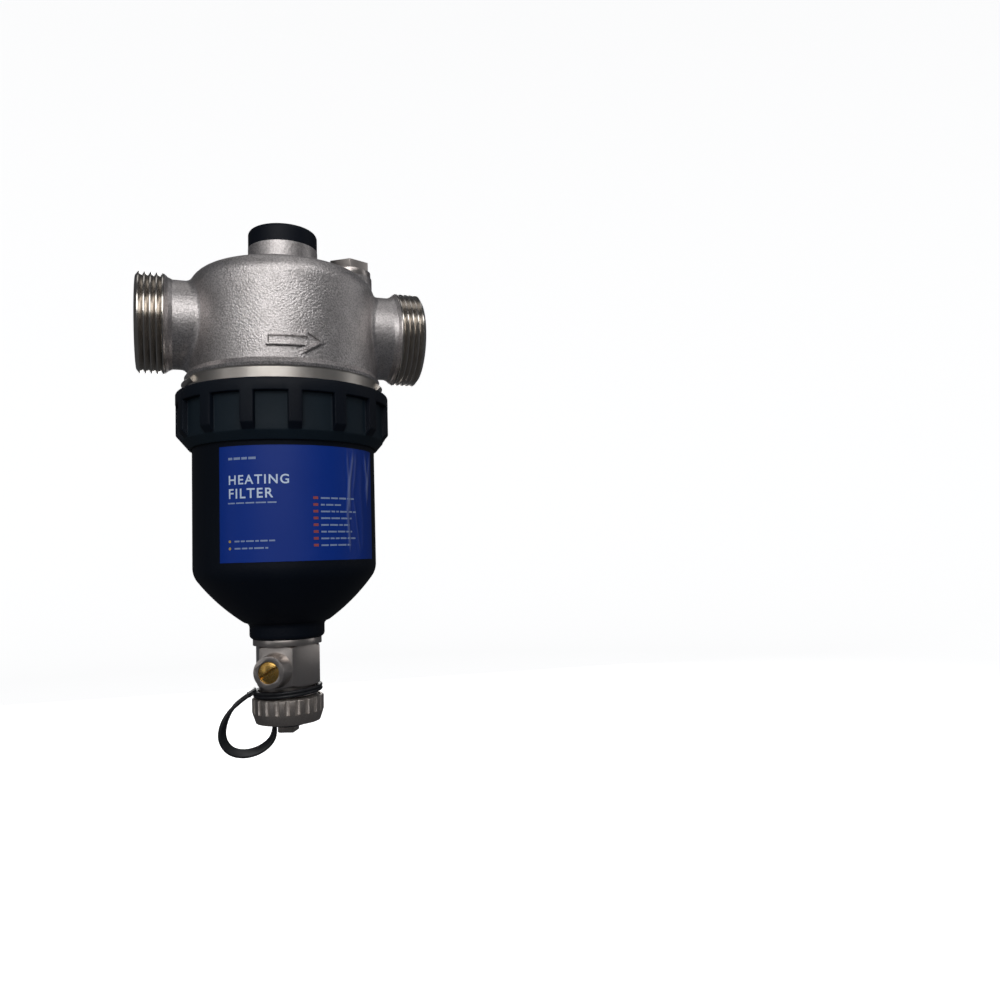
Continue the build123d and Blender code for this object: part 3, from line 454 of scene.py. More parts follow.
@dataclass(frozen=True)
class PrintedFilm:
    """Glossy self-adhesive film, painted paler along its creases: partly where it lifts off the bowl, partly a
    painted highlight on each crease's crest.
    """

    name: str = "blue_label"
    blue: Colour = (0.0012, 0.0265, 0.228)
    hazy: Colour = (0.0020, 0.0300, 0.240)
    crease_pallor_and_highlight: Colour = (0.27, 0.32, 0.47)
    coat: float = 0.05
    coat_roughness: float = 0.2
    specular: float = 0.24

    def paint(self) -> bpy.types.Material:
        """Makes the material.

        Returns:
            The finished material.
        """
        coat = Coat(self.name)
        lift = coat.node("ShaderNodeAttribute", {"attribute_name": "lift"}, output="Fac")
        fibres = coat.grain(0.35, 3.0)
        haze = coat.grain(12.0, 2.0).ease(0.3, 0.75)
        base = coat.mix(haze * 0.25, self.blue, self.hazy)
        # Partly painted highlight: the film is paler where a crease lifts it. This stands both for film
        # whitened off the bowl and for the gloss highlight on the crest.
        colour = coat.mix(lift.ease(0.10, 1.0) * 0.42, base, self.crease_pallor_and_highlight)
        roughness = 0.36 + fibres * 0.08 + haze * 0.05
        return coat.wear(
            colour, roughness, fibres, 0.004,
            Coat_Weight=self.coat, Coat_Roughness=self.coat_roughness, Specular_IOR_Level=self.specular,
        )


@dataclass(frozen=True)
class Ink:
    """Screen-printed ink, a little uneven in cover."""

    name: str
    body: Colour
    thin: Colour

    def paint(self) -> bpy.types.Material:
        """Makes the material.

        Returns:
            The finished material.
        """
        coat = Coat(self.name)
        cover = coat.grain(0.8, 3.0).ease(0.3, 0.7)
        colour = coat.mix(cover * 0.5, self.body, self.thin)
        return coat.wear(colour, 0.35 + cover * 0.1, coat.grain(0.2), 0.003)


@dataclass(frozen=True)
class StudioPaper:
    """Plain pale paper for the floor and the wall all round, with a glow of its own."""

    name: str = "studio_paper"
    pale: Colour = (0.93, 0.93, 0.93)
    shaded: Colour = (0.915, 0.915, 0.915)
    roughness: float = 0.9
    glow: Colour = (1.0, 1.0, 1.0)
    strength: float = 0.88

    def paint(self) -> bpy.types.Material:
        """Makes the material.

        Returns:
            The finished material.
        """
        coat = Coat(self.name)
        tone = coat.node("ShaderNodeTexNoise", values={"Vector": coat.place(), "Scale": 3.0})
        colour = coat.mix(tone, self.pale, self.shaded)
        return coat.wear(colour, self.roughness, Emission_Color=self.glow, Emission_Strength=self.strength)


PLASTIC = MouldedPlastic("black_plastic", (0.0014, 0.0030, 0.0072), (0.0030, 0.0055, 0.0105))
POCKET_FLOOR = (0.0070, 0.0140, 0.0210)
FINISHES = {
    "cast_nickel": CastNickel(),
    "machined_nickel": PlatedNickel(),
    "stainless": TurnedMetal("stainless", (0.62, 0.61, 0.60), (0.50, 0.49, 0.48), 0.22),
    "spring_steel": TurnedMetal("spring_steel", (0.50, 0.49, 0.48), (0.36, 0.34, 0.32), 0.28),
    "mesh_steel": WovenSteel(),
    "magnet_alloy": TurnedMetal("magnet_alloy", (0.70, 0.70, 0.71), (0.55, 0.54, 0.54), 0.12, 0.5),
    "chromed_ball": TurnedMetal("chromed_ball", (0.72, 0.73, 0.74), (0.60, 0.61, 0.62), 0.06, 0.8),
    "brass": TurnedMetal("brass", (0.84, 0.52, 0.15), (0.55, 0.31, 0.08), 0.20, 0.22, (-0.5, -0.866, 0.0)),
    "black_plastic": PLASTIC,
    "black_nylon": SoftSkin("black_nylon", (0.016, 0.017, 0.019), (0.030, 0.031, 0.034), 0.42, 0.3, 0.012),
    "white_ptfe": SoftSkin("white_ptfe", (0.80, 0.79, 0.76), (0.70, 0.68, 0.64), 0.38, 0.4, 0.01),
    "rubber_black": SoftSkin("rubber_black", (0.0075, 0.0080, 0.0100), (0.016, 0.017, 0.020), 0.40, 0.2, 0.012),
    "fibre_seal": SoftSkin("fibre_seal", (0.30, 0.09, 0.06), (0.40, 0.16, 0.11), 0.75, 0.35, 0.05),
    "blue_label": PrintedFilm(),
}


# === Mesh tools =======================================================================================


def arc(centre: Point2, radius: float, start: float, end: float, steps: int) -> list[Point2]:
    """Points along an arc of a profile.

    Args:
        centre: The arc's centre, radius and height.
        radius: The arc's radius.
        start: The first point's angle above the outward direction, in degrees.
        end: The last point's angle.
        steps: How many pieces the arc is divided into.

    Returns:
        The points, both ends among them.
    """
    turns = [math.radians(start + (end - start) * i / steps) for i in range(steps + 1)]
    return [(centre[0] + radius * math.cos(t), centre[1] + radius * math.sin(t)) for t in turns]


def spun(profile: Sequence[Point2], steps: int, start: float = 0.0, closed: bool = True) -> bmesh.types.BMesh:
    """Spins a profile round the Z axis.

    Args:
        profile: Radius and height of each point, in millimetres.
        steps: Divisions round the axis.
        start: The profile's azimuth in degrees.
        closed: Joins the last point to the first.

    Returns:
        The closed surface.
    """
    bm = bmesh.new()
    turn = Matrix.Rotation(math.radians(start), 3, "Z")
    verts = [bm.verts.new(turn @ Vector((r * MM, 0, z * MM))) for r, z in profile]
    pairs = list(zip(verts, verts[1:])) + ([(verts[-1], verts[0])] if closed else [])
    edges = [bm.edges.new(pair) for pair in pairs]
    bmesh.ops.spin(
        bm, geom=verts + edges, cent=(0, 0, 0), axis=(0, 0, 1), dvec=(0, 0, 0),
        angle=2 * math.pi, steps=steps, use_merge=True, use_duplicate=False,
    )
    bmesh.ops.remove_doubles(bm, verts=bm.verts, dist=0.002 * MM)
    bmesh.ops.recalc_face_normals(bm, faces=bm.faces)
    return bm


def round_over(bm: bmesh.types.BMesh, edges: Sequence[bmesh.types.BMEdge], width: float, segments: int) -> None:
    """Rounds edges.

    Args:
        bm: The mesh.
        edges: The edges.
        width: The rounding's width in millimetres.
        segments: How many faces the rounding has.
    """
    bmesh.ops.bevel(
        bm, geom=edges, offset=width * MM, offset_type="OFFSET", segments=segments, profile=0.5,
        affect="EDGES", clamp_overlap=True, loop_slide=True, material=-1,
    )


def slice_at(bm: bmesh.types.BMesh, point: Colour, normal: Colour) -> None:
    """Cuts every face where a plane crosses it."""
    geom = list(bm.verts) + list(bm.edges) + list(bm.faces)
    bmesh.ops.bisect_plane(bm, geom=geom, plane_co=point, plane_no=normal)


def facing_out(face: bmesh.types.BMFace) -> float:
    """How far a face looks away from the Z axis, below 0 where it looks towards it."""
    middle = face.calc_center_median()
    return face.normal.dot(Vector((middle.x, middle.y, 0)))


def linked(name: str, data: bpy.types.ID) -> bpy.types.Object:
    """Puts a new object with this data in the scene.

    Args:
        name: Its name.
        data: Its mesh, curve, camera or light.

    Returns:
        The object.
    """
    made = bpy.data.objects.new(name, data)
    bpy.context.scene.collection.objects.link(made)
    return made


def meshed(holder: bpy.types.Object) -> bpy.types.Mesh:
    """Reads a curve or text object as a mesh, and removes the object."""
    bpy.context.view_layer.update()
    mesh = bpy.data.meshes.new_from_object(holder)
    bpy.data.objects.remove(holder)
    return mesh


def reshape(
    verts: Sequence[bmesh.types.BMVert], change: Callable[[float, float, float], Sequence[float]]
) -> None:
    """Moves vertices in cylinder coordinates.

    Args:
        verts: The vertices.
        change: Gives the new radius, azimuth and height from the old, in millimetres and degrees.
    """
    for v in verts:
        r, turn, z = change(v.co.xy.length / MM, math.degrees(math.atan2(v.co.y, v.co.x)), v.co.z / MM)
        v.co = (r * MM * math.cos(math.radians(turn)), r * MM * math.sin(math.radians(turn)), z * MM)


def soften(bm: bmesh.types.BMesh, width: float, sharper_than: float = 28.0, segments: int = 2) -> None:
    """Rounds every edge that is sharper than an angle.

    Args:
        bm: The mesh.
        width: The rounding's width in millimetres.
        sharper_than: The angle in degrees.
        segments: How many faces the rounding has.
    """
    limit = math.radians(sharper_than)
    edges = [e for e in bm.edges if len(e.link_faces) == 2 and e.calc_face_angle(0.0) > limit]
    round_over(bm, edges, width, segments)


def piece(
    bm: bmesh.types.BMesh,
    name: str,
    material: bpy.types.Material,
    body: str,
    replaced: Sequence[str] = (),
    crease: float = 32.0,
    blended: Optional[tuple] = None,
) -> bpy.types.Object:
    """Makes an object of a mesh and parents it to its body's empty, unless it is blended.

    Args:
        bm: The mesh, which is freed.
        name: The piece's name.
        material: Its material.
        body: The body it rides on.
        replaced: CAD nodes that it stands for.
        crease: Edges sharper than this many degrees stay sharp in the shading.
        blended: The second body, and the start and end points, of a piece that spans two bodies; only whether
            it is given is read, and such a piece is left unparented.

    Returns:
        The object.
    """
    for face in bm.faces:
        face.smooth = True
    for edge in bm.edges:
        edge.smooth = len(edge.link_faces) != 2 or edge.calc_face_angle(0.0) < math.radians(crease)
    mesh = bpy.data.meshes.new(name)
    bm.to_mesh(mesh)
    bm.free()
    mesh.materials.append(material)
    made = linked(name, mesh)
    if blended:
        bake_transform(made)
    else:
        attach(made, body)
    if replaced:
        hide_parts(*replaced)
    LOG.info("%s: %d faces on %s", name, len(mesh.polygons), body)
    return made


class Wardrobe:
    """Paints each finish once and hands it out by its slot's name."""

    def __init__(self) -> None:
        """Starts with nothing painted."""
        self.painted: dict[str, bpy.types.Material] = {}

    def __getitem__(self, slot: str) -> bpy.types.Material:
        """The slot's material, painted when it is first asked for.

        Args:
            slot: The slot's name.

        Returns:
            The material.
        """
        if slot not in self.painted:
            self.painted[slot] = FINISHES[slot].paint()
        return self.painted[slot]


# === Studio ===========================================================================================


@dataclass
class Studio:
    """The camera, the soft lights and the pale paper sweep."""

    lens: float = 29.14
    eye: Colour = (-0.04108, -0.36372, -0.10068)
    right: Colour = (0.93205, -0.36113, -0.02949)
    up: Colour = (0.00360, -0.07212, 0.99739)
    forward: Colour = (0.36231, 0.92973, 0.06592)
    floor: float = -0.345
    flat: float = 1.7
    bend: float = 0.8
    height: float = 3.6
    sides: int = 96
    middle: Colour = (0.0, 0.0, -0.06)
    room: Colour = (0.80, 0.84, 0.92)
    room_strength: float = 0.07

    def set_camera(self) -> None:
        """Puts the camera where the object is seen from."""
        data = bpy.data.cameras.new("camera")
        data.lens = self.lens
        data.sensor_width = 36.0
        data.clip_start = 0.01
        camera = linked("camera", data)
        back = -Vector(self.forward)
        rows = Matrix((self.right, self.up, back)).transposed()
        camera.matrix_world = Matrix.Translation(self.eye) @ rows.to_4x4()
        bpy.context.scene.camera = camera

    def lay_paper(self) -> None:
        """Lays the floor and bends it up into a wall all round."""
        floor, flat, bend, height = self.floor / MM, self.flat / MM, self.bend / MM, self.height / MM
        profile = [(0.0, floor)] + arc((flat, floor + bend), bend, -90, 0, 16) + [(flat + bend, floor + height)]
        bm = spun(profile, self.sides, closed=False)
        for face in bm.faces:
            face.smooth = True
        mesh = bpy.data.meshes.new("paper")
        bm.to_mesh(mesh)
        bm.free()
        mesh.materials.append(StudioPaper().paint())
        paper = linked("paper", mesh)
        paper.visible_glossy = False
        paper.visible_diffuse = False

    def hang_light(
        self, name: str, place: Colour, size: Point2, watts: float, mirrored: bool = True
    ) -> None:
        """Hangs one soft box that faces the object's middle.

        Args:
            name: The light's name.
            place: Where it hangs.
            size: Its width and height in metres.
            watts: Its power.
            mirrored: Whether it shows in shiny surfaces.
        """
        data = bpy.data.lights.new(name, "AREA")
        data.shape = "RECTANGLE"
        data.size, data.size_y = size
        data.energy = watts
        light = linked(name, data)
        light.location = place
        light.visible_camera = False
        light.visible_glossy = mirrored
        light.rotation_mode = "QUATERNION"
        light.rotation_quaternion = (Vector(self.middle) - Vector(place)).to_track_quat("-Z", "Y")

    def build(self) -> None:
        """Sets up the lights, the paper and the room's own glow."""
        self.lay_paper()
        self.hang_light("key", (-0.37, -0.87, 0.42), (0.95, 0.40), 3.5)
        self.hang_light("left_box", (-0.95, -0.30, 0.20), (0.26, 0.90), 0.40)
        self.hang_light("right_box", (0.95, -0.15, 0.25), (0.22, 0.90), 0.50)
        self.hang_light("neck_strip", (0.14, -0.72, 0.70), (0.80, 0.22), 1.6)
        self.hang_light("top_box", (0.05, 0.10, 0.95), (0.7, 0.4), 0.55)
        self.hang_light("back_box", (0.12, 1.05, 0.25), (0.60, 0.60), 2.6)
        self.hang_light("front_fill", (-0.15, -1.00, 0.05), (1.40, 1.20), 4.6, False)
        self.hang_light("back_fill", (0.15, 1.20, 0.10), (1.40, 1.20), 3.0, False)
        world = bpy.data.worlds.new("room")
        world.use_nodes = True
        glow = world.node_tree.nodes["Background"]
        glow.inputs["Color"].default_value = (*self.room, 1.0)
        glow.inputs["Strength"].default_value = self.room_strength
        bpy.context.scene.world = world
        bpy.context.scene.view_settings.view_transform = "Standard"


# === Strap ============================================================================================


@dataclass
class CapStrap:
    """The rubber strap that keeps the drain cap: a double-ridged ring round the hose neck and a flat band."""

    ring_inner: float = 12.62
    ring_outer: float = 14.58
    ring_height: float = 2.8
    ring_middle: float = -156.45
    ring_tilt: float = 3.5
    band_width: float = 3.8
    band_thickness: float = 1.6
    band_edge: float = 0.55
    length: float = 52.5
    peak_twist: float = 62.0
    straight_share: float = 0.12
    tab_length: float = 3.4
    tab_edge: float = 0.4

    def route(self) -> list[Colour]:
        """The band's course.

        Returns:
            Its points, from the ring to the eye on the cap's stub, in metres.
        """
        return [
            (-0.0162, 0.0, -0.1573),
            (-0.0196, 0.0, -0.1593),
            (-0.0240, 0.0, -0.1634),
            (-0.0269, 0.0, -0.1692),
            (-0.0273, 0.0, -0.1750),
            (-0.0242, 0.0, -0.1800),
            (-0.0186, 0.0, -0.1820),
            (-0.0123, 0.0, -0.1811),
            (-0.0076, 0.0, -0.1780),
            (-0.0058, 0.0, -0.1744),
            (-0.0058, 0.0, -0.17115),
        ]

    def line(self) -> list[Vector]:
        """Draws a smooth spline along the route.

        Returns:
            Points read along it.
        """
        data = bpy.data.curves.new("strap_line", "CURVE")
        data.dimensions = "3D"
        data.resolution_u = 8
        spline = data.splines.new("NURBS")
        points = self.route()
        spline.points.add(len(points) - 1)
        for point, place in zip(spline.points, points):
            point.co = (*place, 1.0)
        spline.order_u = 3
        spline.use_endpoint_u = True
        mesh = meshed(linked("strap_line", data))
        read = [v.co.copy() for v in mesh.vertices]
        bpy.data.curves.remove(data)
        bpy.data.meshes.remove(mesh)
        return read

    def section(self) -> list[Point2]:
        """Draws the band's cross-section.

        Returns:
            Its points in millimetres, round each rounded edge in turn.
        """
        w, t, e = self.band_width / 2, self.band_thickness / 2, self.band_edge
        x, y = w - e, t - e
        corners = [(x, y, 0), (-x, y, 90), (-x, -y, 180), (x, -y, 270)]
        points: list[Point2] = []
        for x, y, start in corners:
            points += arc((x, y), e, start, start + 90, 3)
        return points

    def twist(self, share: float) -> float:
        """How far the band has turned on its line at a share of its length, in degrees."""
        rest = (share - self.straight_share) / (1.0 - self.straight_share)
        return self.peak_twist * max(0.0, math.sin(math.pi * min(1.0, max(0.0, rest))))

    def build_band(self, material: bpy.types.Material) -> None:
        """Args:
            material: Its material.
        """
        path = self.line()
        bm = bmesh.new()
        shape = self.section()
        ring = [bm.verts.new((x * MM, y * MM, 0)) for x, y in shape]
        edges = [bm.edges.new((a, b)) for a, b in zip(ring, ring[1:] + ring[:1])]
        bm.faces.new(ring[::-1])
        lengths = [0.0]
        for a, b in zip(path, path[1:]):
            lengths.append(lengths[-1] + (b - a).length)
        for index, point in enumerate(path):
            ahead = path[min(index + 1, len(path) - 1)] - path[max(index - 1, 0)]
            ahead.normalize()
            side = Vector((0, 1, 0))
            share = lengths[index] / lengths[-1]
            spin = Matrix.Rotation(math.radians(self.twist(share)), 3, ahead)
            across, through = spin @ side, spin @ ahead.cross(side)
            if index:
                grown = bmesh.ops.extrude_edge_only(bm, edges=edges)["geom"]
                edges = [g for g in grown if isinstance(g, bmesh.types.BMEdge)]
                fresh = [g for g in grown if isinstance(g, bmesh.types.BMVert)]
                match = {}
                for vert in fresh:
                    old = min(ring, key=lambda v: (v.co - vert.co).length)
                    match[old] = vert
                ring = [match[v] for v in ring]
            for vert, (x, y) in zip(ring, shape):
                vert.co = point + across * (x * MM) + through * (y * MM)
        bm.faces.new(ring)
        bmesh.ops.recalc_face_normals(bm, faces=bm.faces)
        start, end = self.route()[0], self.route()[-1]
        band = piece(bm, "cap_strap_band", material, "bowl", ["strap_band"], 60.0,
                     ("cap_carrier", start, end))

    def build_ring(self, material: bpy.types.Material) -> None:
        """Turns the double-ridged ring, tilts it and gives it the tab that the band grows from.

        Args:
            material: Its material.
        """
        mid = (self.ring_inner + self.ring_outer) / 2
        ridge = self.ring_height / 4
        reach = self.ring_outer - ridge
        profile = [(self.ring_inner, -self.ring_height / 2 + 0.3), (mid, -self.ring_height / 2)]
        profile += arc((reach, -ridge), ridge, -80, 70, 6)
        profile += arc((reach, ridge), ridge, -70, 80, 6)
        profile += [(mid, self.ring_height / 2), (self.ring_inner, self.ring_height / 2 - 0.3)]
        bm = spun(profile, 96)
        tilt = Matrix.Rotation(math.radians(-self.ring_tilt), 3, "Y")
        bmesh.ops.rotate(bm, verts=bm.verts, cent=(0, 0, 0), matrix=tilt)
        bmesh.ops.translate(bm, verts=bm.verts, vec=(0, 0, self.ring_middle * MM))
        tab = bmesh.ops.create_cube(bm, size=1.0)["verts"]
        start, following = Vector(self.route()[0]), Vector(self.route()[1])
        run, side = (following - start).normalized(), Vector((0, 1, 0))
        lay = Matrix((run, side, run.cross(side))).transposed()
        size = Vector((self.tab_length, self.band_width * 0.99, self.band_thickness * 0.99)) * MM
        for v in tab:
            v.co = lay @ (v.co * size) + start - run * (self.tab_length / 2 * MM)
        round_over(bm, list(dict.fromkeys(e for v in tab for e in v.link_edges)), self.tab_edge, 3)
        piece(bm, "cap_strap_ring", material, "bowl", ["strap_ring"], 50.0)

    def build(self, wardrobe: Wardrobe) -> None:
        """Builds the band, then the ring."""
        self.build_band(wardrobe["rubber_black"])
        self.build_ring(wardrobe["rubber_black"])


# === Lock ring and bowl ===============================================================================


@dataclass
class LockRing:
    """The castellated ring that screws the bowl to the head."""

    outer: float = 45.0
    floor: float = 42.6
    bore: float = 40.3
    lip_bore: float = 38.8
    lip_outer: float = 39.8
    top: float = -29.4
    pocket_top: float = -34.7
    chamfer_top: float = -47.0
    seat: float = -49.5
    bottom: float = -53.2
    count: int = 15
    pocket: float = 17.0
    turned: float = -79.3
    groove: float = 1.0
    lead: float = 3.0
    columns: int = 16
    pocket_columns: int = 12
    thread_start: float = 2.6
    thread_half: float = 1.1
    edge: float = 0.42

    def profile(self) -> list[Point2]:
        """Draws the ring's section.

        Returns:
            Its closed points.
        """
        slope = (self.chamfer_top - self.bottom) / (self.outer - self.lip_outer)
        cut = self.chamfer_top - (self.outer - self.floor) * slope
        points = [(self.outer - 1.0, self.top), (self.outer - 0.3, self.top - 0.3)]
        points += [(self.outer, self.top - 1.0)]
        points += [(self.outer, self.pocket_top), (self.outer, self.chamfer_top), (self.floor, cut)]
        points += [(self.lip_outer, self.bottom), (self.lip_bore, self.bottom), (self.lip_bore, self.seat)]
        points += [(self.bore, self.seat)]
        for turn in range(4, -1, -1):
            crest = self.top - self.thread_start - self.lead * turn
            points += [(self.bore, crest - self.thread_half), (self.bore + self.groove, crest)]
            points += [(self.bore, crest + self.thread_half)]
        return points + [(self.bore, self.top)]

    def spread(self, radius: float, turn: float, height: float) -> tuple[float, float, float]:
        """Gathers even columns onto the pockets' edges.

        Args:
            radius: A point's radius in millimetres, which stays.
            turn: Its azimuth in degrees.
            height: Its height, which stays.

        Returns:
            Its new radius, azimuth and height.
        """
        pitch = 360 / self.count
        place, local = divmod((turn - self.turned + self.pocket / 2) % 360 + 1e-6, pitch)
        even = pitch * self.pocket_columns / self.columns
        if local <= even:
            local = local * self.pocket / even
        else:
            local = self.pocket + (local - even) * (pitch - self.pocket) / (pitch - even)
        return radius, place * pitch + local + self.turned - self.pocket / 2, height

    def in_pocket(self, face: bmesh.types.BMFace) -> bool:
        """Looks for faces of the outer wall or chamfer that lie over a pocket.

        Args:
            face: The face.

        Returns:
            Whether it is one.
        """
        middle = face.calc_center_median()
        turn = math.degrees(math.atan2(middle.y, middle.x))
        local = (turn - self.turned + self.pocket / 2) % (360 / self.count)
        radius = middle.xy.length / MM
        return local < self.pocket and radius > self.floor + 0.2 and middle.z / MM < self.pocket_top

    def build(self, wardrobe: Wardrobe) -> None:
        """Spins the ring, sinks the pockets and rounds the edges.

        Args:
            wardrobe: The finishes; not used.
        """
        bm = spun(self.profile(), self.count * self.columns, self.turned - self.pocket / 2)
        reshape(bm.verts, self.spread)
        faces = [f for f in bm.faces if self.in_pocket(f)]
        grown = bmesh.ops.extrude_face_region(bm, geom=faces)["geom"]
        bmesh.ops.delete(bm, geom=[f for f in faces if f.is_valid and f not in grown], context="FACES_ONLY")
        moved = [g for g in grown if isinstance(g, bmesh.types.BMVert)]
        reshape(moved, lambda r, turn, z: (self.floor, turn, z))
        bmesh.ops.remove_doubles(bm, verts=bm.verts, dist=0.01 * MM)
        bmesh.ops.dissolve_degenerate(bm, edges=bm.edges, dist=0.005 * MM)
        bmesh.ops.recalc_face_normals(bm, faces=bm.faces)
        outside = [
            e for e in bm.edges
            if len(e.link_faces) == 2 and e.calc_face_angle(0.0) > math.radians(25)
            and min(v.co.xy.length for v in e.verts) > (self.floor - 0.05) * MM
        ]
        round_over(bm, outside, self.edge, 3)
        material = MouldedPlastic("ring_plastic", PLASTIC.body, POCKET_FLOOR, self.floor + 0.1).paint()
        piece(bm, "bowl_lock_ring", material, "lock_ring", ["lock_ring"], 40.0)


@dataclass
class Bowl:
    """The moulded bowl: flange, straight wall, domed bottom and threaded neck."""

    flange: float = 39.9
    flange_top: float = -44.8
    flange_bottom: float = -49.5
    radius: float = 38.5
    wall: float = 3.2
    straight_end: float = -103.0
    corner: float = 10.0
    corner_turn: float = 36.87
    neck_r: float = 15.78
    neck_top: float = -128.4
    neck_bottom: float = -134.2
    neck_edge: float = 2.0
    bore: float = 10.58
    washer: float = 12.88
    washer_height: float = 1.4
    fillet: float = 2.2
    sides: int = 160
    rim_edge: float = 0.3

    def dome(self, inset: float, end_r: float) -> list[Point2]:
        """Draws the corner and dome.

        Args:
            inset: How far inside the outer wall they lie.
            end_r: The radius that the dome ends at.

        Returns:
            The points, from the straight wall down.
        """
        turn = math.radians(self.corner_turn)
        start_r, start_z = self.radius - self.corner, self.straight_end
        end = (start_r + self.corner * math.cos(turn), start_z - self.corner * math.sin(turn))
        dx, dz = self.neck_r - end[0], self.neck_top - end[1]
        big = (dx * dx + dz * dz) / 2 / abs(dx * math.cos(turn) - dz * math.sin(turn))
        centre = (end[0] - big * math.cos(turn), end[1] + big * math.sin(turn))
        points = arc((start_r, start_z), self.corner - inset, 0, -self.corner_turn, 10)
        last = -math.degrees(math.acos((end_r - centre[0]) / (big - inset)))
        return points + arc(centre, big - inset, -self.corner_turn, last, 28)[1:]

    def profile(self) -> list[Point2]:
        """Draws the bowl's section.

        Returns:
            Its closed points.
        """
        outer = self.dome(0.0, self.neck_r + self.fillet)
        swing_centre = (self.neck_r + self.fillet, self.neck_top - self.fillet * 0.35)
        edge_centre = (self.neck_r - self.neck_edge, self.neck_bottom + self.neck_edge)
        points = [(self.radius - self.wall, self.flange_top), (self.flange, self.flange_top)]
        points += [(self.flange, self.flange_bottom), (self.radius, self.flange_bottom)]
        points += outer + arc(swing_centre, self.fillet, 118, 180, 5)
        points += [(self.neck_r, edge_centre[1])]
        points += arc(edge_centre, self.neck_edge, 0, -90, 6)[1:]
        points += [(self.washer, self.neck_bottom), (self.washer, self.neck_bottom + self.washer_height)]
        points += [(self.bore, self.neck_bottom + self.washer_height)]
        return points + self.dome(self.wall, self.bore)[::-1]

    def build(self, wardrobe: Wardrobe) -> None:
        """Spins the bowl and rounds its rims.

        Args:
            wardrobe: The finishes.
        """
        bm = spun(self.profile(), self.sides)
        soften(bm, self.rim_edge, 50.0)
        piece(bm, "filter_bowl", wardrobe["black_plastic"], "bowl", ["bowl"], 40.0)


@dataclass(frozen=True)
class Crease:
    """One long fold in the label: where it runs, how wide and how high it is, in millimetres."""

    across: Sequence[float]
    above: Sequence[float]
    width: float
    height: float

    def lift(self, u: float, v: float) -> float:
        """Finds the fold's height at a point of the label.

        Args:
            u: The point's place across the label.
            v: Its place up the label.

        Returns:
            The height.
        """
        low, high = min(self.above), max(self.above)
        if not low - 1 < v < high + 1:
            return 0.0
        place = (v - self.above[0]) / (self.above[-1] - self.above[0]) * (len(self.across) - 1)
        place = min(max(place, 0.0), len(self.across) - 1.001)
        step = int(place)
        centre = self.across[step] + (self.across[step + 1] - self.across[step]) * (place - step)
        ends = min(1.0, max(0.0, (v - low + 1) / 6)) * min(1.0, max(0.0, (high + 1 - v) / 6))
        return self.height * ends * math.exp(-(((u - centre) / self.width) ** 2))


class Tint(Enum):
    """The inks on the label."""

    PALE = Ink("label_ink", (0.56, 0.66, 0.80), (0.42, 0.52, 0.70))
    DIM = Ink("label_fine_ink", (0.22, 0.29, 0.46), (0.14, 0.20, 0.38))
    RED = Ink("label_red_ink", (0.30, 0.055, 0.05), (0.24, 0.05, 0.07))
    AMBER = Ink("label_amber_ink", (0.42, 0.31, 0.05), (0.30, 0.22, 0.06))


